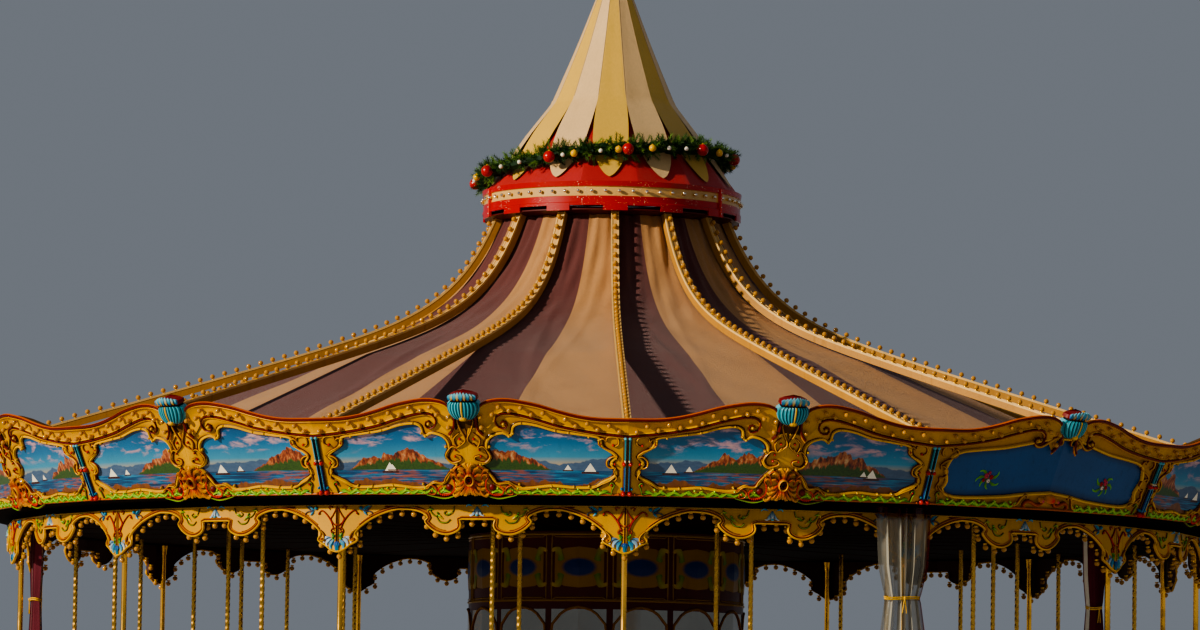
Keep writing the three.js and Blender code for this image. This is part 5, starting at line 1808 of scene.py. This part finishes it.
def pole(low, high):
    """Twisted brass pole: a six-sided bar that turns once every POLE_TURN, in ten rings, and is
    plain at its ends, so that what slides through the deck is plain."""
    foot, head = low + POLE_FOOT, high - POLE_HEAD
    z = np.concatenate([[low], np.linspace(foot, head, int(10 * (head - foot) / POLE_TURN)), [high]])
    twist = TURN * np.clip(z - foot, 0, head - foot) / POLE_TURN
    return along_path(stacked(0, 0, z), POLE_RADIUS, 6, GOLD, spin=twist, finish=1)


def horses():
    """Outer and inner rows: copies of the one horse in four coats, each on its pole."""
    model = horse()
    coats = np.array([(1.0, 1.0, 1.0), (0.93, 0.82, 0.62), (0.62, 0.6, 0.6), (0.98, 0.93, 0.86)])
    white = np.abs(model.paint - IVORY).sum(1) < 0.5
    for row, radius, low, high in (("outer", OUTER_ROW, 0.316, 3.699), ("inner", INNER_ROW, 0.4606, 3.3992)):
        for k in range(BAYS):
            a = (k + 0.5) * BAY
            axes = np.array([[math.cos(a), -math.sin(a), 0], [math.sin(a), math.cos(a), 0], [0, 0, 1.0]])
            place = polar(radius, a, BARREL_HEIGHT)
            tint = np.where(white[:, None], coats[(k + (row == "inner") * 2) % 4], 1.0)
            copy = model.moved(lambda points: points @ axes.T + place).changed(paint=model.paint * tint)
            stick = pole(low, high).moved(lambda points: points @ axes.T + place * [1, 1, 0])
            node = f"{'horse' if row == 'outer' else 'inner_horse'}_{k + 1:02d}"
            piece(f"galloper_{row}_{k + 1:02d}", joined([copy, stick]),
                  finishes("horse_enamel", "worn_brass"), body=node if row == "outer" else "turntable",
                  stands_for=[node])


# Curtains
CURTAIN_FOOT = 0.622
CURTAIN_LEVELS = np.array([(0.62, 1.0, 1.0), (1.3, 0.95, 1.0), (2.3, 0.85, 0.95), (2.66, 0.64, 0.72),
                           (2.69, 0.6, 0.66), (2.73, 0.66, 0.74), (2.95, 0.88, 0.84)])


def curtain(name, node, angle, circle, top, width, depth, pleats, seed, paints, finish):
    """A gathered curtain: across it the share t runs over pleats waves, whose depth and pitch
    wander; up it the bundle's width and depth follow CURTAIN_LEVELS, narrowest at the tie. A
    cord ties it."""
    dice = np.random.default_rng(seed)
    cols, rows = pleats * 12 + 1, 74
    t = np.linspace(0, 1, cols)[None, :]
    z = np.linspace(CURTAIN_FOOT, top - 0.003, rows)[:, None]
    levels = np.concatenate([CURTAIN_LEVELS, [(top, 1.0, 0.8)]])
    wide = np.interp(z, levels[:, 0], levels[:, 1]) * width * 0.47
    deep = np.interp(z, levels[:, 0], levels[:, 2]) * depth * 0.42
    wander = np.interp(t, np.linspace(0, 1, 9), dice.uniform(-0.5, 0.5, 9))
    phase = TURN * (pleats * t + wander) + 0.5 * np.sin(1.7 * z + 5 * t) * smooth_step(2.6, 1.0, z)
    size = np.interp(t, np.linspace(0, 1, 2 * pleats), dice.uniform(0.72, 1.0, 2 * pleats))
    across = (2 * t - 1) * wide + 0.1 * width * np.cos(phase) / pleats
    out = deep * size * np.sin(phase) * (1 - 0.25 * (2 * t - 1) ** 2)
    side = np.array([math.cos(angle), math.sin(angle), 0])
    way = np.array([math.sin(angle), -math.cos(angle), 0])
    points = polar(circle, angle, 0.0) + across[..., None] * side + out[..., None] * way
    points[..., 2] = z
    run = run_length(points[rows // 2])
    place = stacked(run[None, :], z)
    if len(paints) == 2:
        tone = np.where((run % 0.24 > 0.06)[None, :, None], paints[0], paints[1])
    else:
        tone = np.where((t > 0.965)[..., None], paints[1], paints[0])
        tone = np.where((z > top - 0.1)[..., None], paints[2], tone)
    skin = grid(points, tone, place=place)
    hung = piece(name, skin, finishes(finish), stands_for=[node], sharp=1.2)
    turn = round_angles(30)
    loops = []
    for height, slack in ((2.682, 0.0), (2.697, 0.002)):
        loop = polar(circle, angle, 0.0) + ((0.3 * width + slack) * np.cos(turn)[:, None]) * side \
            + ((0.31 * depth + slack) * np.sin(turn)[:, None]) * way
        loop[:, 2] = height + 0.006 * np.sin(2 * turn)
        loops.append(along_path(loop, 0.006, 6, GOLD_LIGHT, closed=True))
    knot = polar(circle + 0.34 * depth, angle, 2.69)
    loops.append(repeated(ball(0.014, 4, 8, GOLD_LIGHT), knot[None]))
    for lean in (-0.5, 0.35):
        end = curve_through([knot, knot + side * 0.02 * lean + [0, 0, -0.05],
                             knot + side * 0.05 * lean + [0, 0, -0.13]], 8)
        loops.append(along_path(end, 0.005, 6, GOLD_LIGHT))
    tie = piece(name + "_tie", joined(loops), finishes("crown_cloth"))


def curtains():
    """The clear curtain at the first post to the right and two striped ones."""
    curtain("clear_curtain_fine", "clear_curtain", BAY - 0.02, 5.724, 3.4697, 0.56, 0.15, 6, 4,
            (IVORY, RED, DARK_RED), "clear_sheeting")
    for side, k, seed in (("left", -3, 8), ("right", 2, 9)):
        node = f"striped_curtain_{side}"
        curtain(node + "_fine", node, k * BAY, 5.4, 3.3947, 0.34, 0.17, 9, seed, (CRIMSON, IVORY),
                "curtain_cloth")


# Stage
CAMERA_PLACE = (-1.466, -54.53, 1.0)
CAMERA_HEADING = (0.0251, 0.9997)
CAMERA_PITCH, CAMERA_ROLL = math.radians(4.71), math.radians(0.84)
CAMERA_LENS = 173.97


def stage(key, sky):
    """Camera at the photograph's place, a pale floor, a soft key from the upper left and an even
    sky."""
    view = bpy.data.cameras.new("photo_view")
    view.lens, view.sensor_width, view.clip_end = CAMERA_LENS, 36.0, 400.0
    camera = bpy.data.objects.new("photo_view", view)
    east, north = CAMERA_HEADING
    ahead = np.array([east * math.cos(CAMERA_PITCH), north * math.cos(CAMERA_PITCH), math.sin(CAMERA_PITCH)])
    right = unit(np.cross(ahead, [0, 0, 1.0]))
    up = np.cross(right, ahead)
    turned_right = right * math.cos(CAMERA_ROLL) + up * math.sin(CAMERA_ROLL)
    turned_up = up * math.cos(CAMERA_ROLL) - right * math.sin(CAMERA_ROLL)
    basis = Matrix(np.stack([turned_right, turned_up, -ahead], 1).tolist()).to_4x4()
    camera.matrix_world = Matrix.Translation(CAMERA_PLACE) @ basis
    scene = bpy.context.scene
    scene.collection.objects.link(camera)
    scene.camera = camera
    sun = bpy.data.lights.new("key", "SUN")
    sun.energy, sun.angle, sun.color = key, math.radians(2.2), (1.0, 0.9, 0.74)
    lit = bpy.data.objects.new("key", sun)
    lit.rotation_euler = Vector((0.82, 0.48, -0.33)).to_track_quat("-Z", "Y").to_euler()
    scene.collection.objects.link(lit)
    world = bpy.data.worlds.new("studio")
    world.use_nodes = True
    light = world.node_tree.nodes["Background"]
    light.inputs["Color"].default_value = (0.8, 0.88, 1.0, 1)
    light.inputs["Strength"].default_value = sky
    scene.world = world
    scene.view_settings.look = "AgX - Medium High Contrast"
    floor = bpy.data.meshes.new("floor")
    floor.from_pydata([(-60, -60, 0), (60, -60, 0), (60, 60, 0), (-60, 60, 0)], [], [(0, 1, 2, 3)])
    ground = bpy.data.objects.new("floor", floor)
    made, _, shader = material("pale_floor")
    shader.inputs["Base Color"].default_value = (0.62, 0.61, 0.59, 1)
    shader.inputs["Roughness"].default_value = 0.9
    floor.materials.append(made)
    scene.collection.objects.link(ground)


class RideSettings(bpy.types.PropertyGroup):
    """Sizes and colours that a user would change."""

    stripe_dark: bpy.props.FloatVectorProperty(
        name="Dark stripe", description="First colour of each bay of the top", subtype="COLOR", size=3,
        min=0, max=1, default=tuple(MAROON))
    stripe_light: bpy.props.FloatVectorProperty(
        name="Light stripe", description="Second colour of each bay of the top", subtype="COLOR", size=3,
        min=0, max=1, default=tuple(TAN))
    canvas_sag: bpy.props.FloatProperty(
        name="Canvas sag", description="How far the top hangs between two ribs", subtype="DISTANCE",
        unit="LENGTH", min=0.0, max=0.2, default=0.045)
    lamp_radius: bpy.props.FloatProperty(
        name="Lamp radius", description="Radius of the globes on the boards", subtype="DISTANCE",
        unit="LENGTH", min=0.01, max=0.05, default=0.025)
    key_strength: bpy.props.FloatProperty(
        name="Key light", description="Strength of the soft key light", min=0.0, max=20.0, default=4.6)
    sky_strength: bpy.props.FloatProperty(
        name="Sky light", description="Strength of the even light all round", min=0.0, max=5.0, default=0.2)


class Step:
    """What all steps share: they build from the settings and end."""

    def execute(self, context):
        self.build(context.scene.ride)
        return {"FINISHED"}


class RIDE_OT_stage(Step, bpy.types.Operator):
    """Set up the camera, the floor and the light"""

    bl_idname = "ride.stage"
    bl_label = "Stage"

    def build(self, ride):
        stage(ride.key_strength, ride.sky_strength)


class RIDE_OT_cornice(Step, bpy.types.Operator):
    """Build the carved units round the top and their lamps"""

    bl_idname = "ride.cornice"
    bl_label = "Carved cornice"

    def build(self, ride):
        cornice_units(ride.lamp_radius)


class RIDE_OT_valance(Step, bpy.types.Operator):
    """Build the lower boards and the lamps along their edge"""

    bl_idname = "ride.valance"
    bl_label = "Lower boards"

    def build(self, ride):
        valance(ride.lamp_radius)


class RIDE_OT_ring_frame(Step, bpy.types.Operator):
    """Build the ring beam and the brass posts"""

    bl_idname = "ride.ring_frame"
    bl_label = "Ring beam and posts"

    def build(self, ride):
        ring_frame()


class RIDE_OT_ribs(Step, bpy.types.Operator):
    """Build the ribs with their lamps"""

    bl_idname = "ride.ribs"
    bl_label = "Ribs of lamps"

    def build(self, ride):
        ribs(ride.lamp_radius)


class RIDE_OT_canopy(Step, bpy.types.Operator):
    """Stretch the striped top under the ribs"""

    bl_idname = "ride.canopy"
    bl_label = "Striped top"

    def build(self, ride):
        canopy(np.array(ride.stripe_dark), np.array(ride.stripe_light), ride.canvas_sag)


class RIDE_OT_crown(Step, bpy.types.Operator):
    """Build the crown: drum, skirt, petals, finial and garland"""

    bl_idname = "ride.crown"
    bl_label = "Crown"

    def build(self, ride):
        crown_drum()
        crown_skirt()
        spire()
        finial()
        garland()


class RIDE_OT_floors(Step, bpy.types.Operator):
    """Dress the deck, its edge, the drum, the ceiling and the base"""

    bl_idname = "ride.floors"
    bl_label = "Deck, drum and ceiling"

    def build(self, ride):
        floors()


class RIDE_OT_horses(Step, bpy.types.Operator):
    """Build both rows of horses on their poles"""

    bl_idname = "ride.horses"
    bl_label = "Horses"

    def build(self, ride):
        horses()


class RIDE_OT_curtains(Step, bpy.types.Operator):
    """Hang the three gathered curtains"""

    bl_idname = "ride.curtains"
    bl_label = "Curtains"

    def build(self, ride):
        curtains()


STEPS = (RIDE_OT_stage, RIDE_OT_cornice, RIDE_OT_valance, RIDE_OT_ring_frame, RIDE_OT_ribs, RIDE_OT_canopy,
         RIDE_OT_crown, RIDE_OT_floors, RIDE_OT_horses, RIDE_OT_curtains)


class RIDE_PT_panel(bpy.types.Panel):
    """Lists the settings and the building steps"""

    bl_idname = "RIDE_PT_panel"
    bl_label = "Galloper ride"
    bl_space_type = "VIEW_3D"
    bl_region_type = "UI"
    bl_category = "Ride"

    def draw(self, context):
        layout = self.layout
        for name in RideSettings.__annotations__:
            layout.prop(context.scene.ride, name)
        for step in STEPS:
            layout.operator(step.bl_idname)


def register():
    for kind in (RideSettings, *STEPS, RIDE_PT_panel):
        bpy.utils.register_class(kind)
    bpy.types.Scene.ride = bpy.props.PointerProperty(type=RideSettings)


def unregister():
    del bpy.types.Scene.ride
    for kind in (RIDE_PT_panel, *reversed(STEPS), RideSettings):
        bpy.utils.unregister_class(kind)


def main():
    register()
    for step in STEPS:
        getattr(bpy.ops.ride, step.bl_idname.split(".")[1])()


if __name__ == "__main__":
    main()
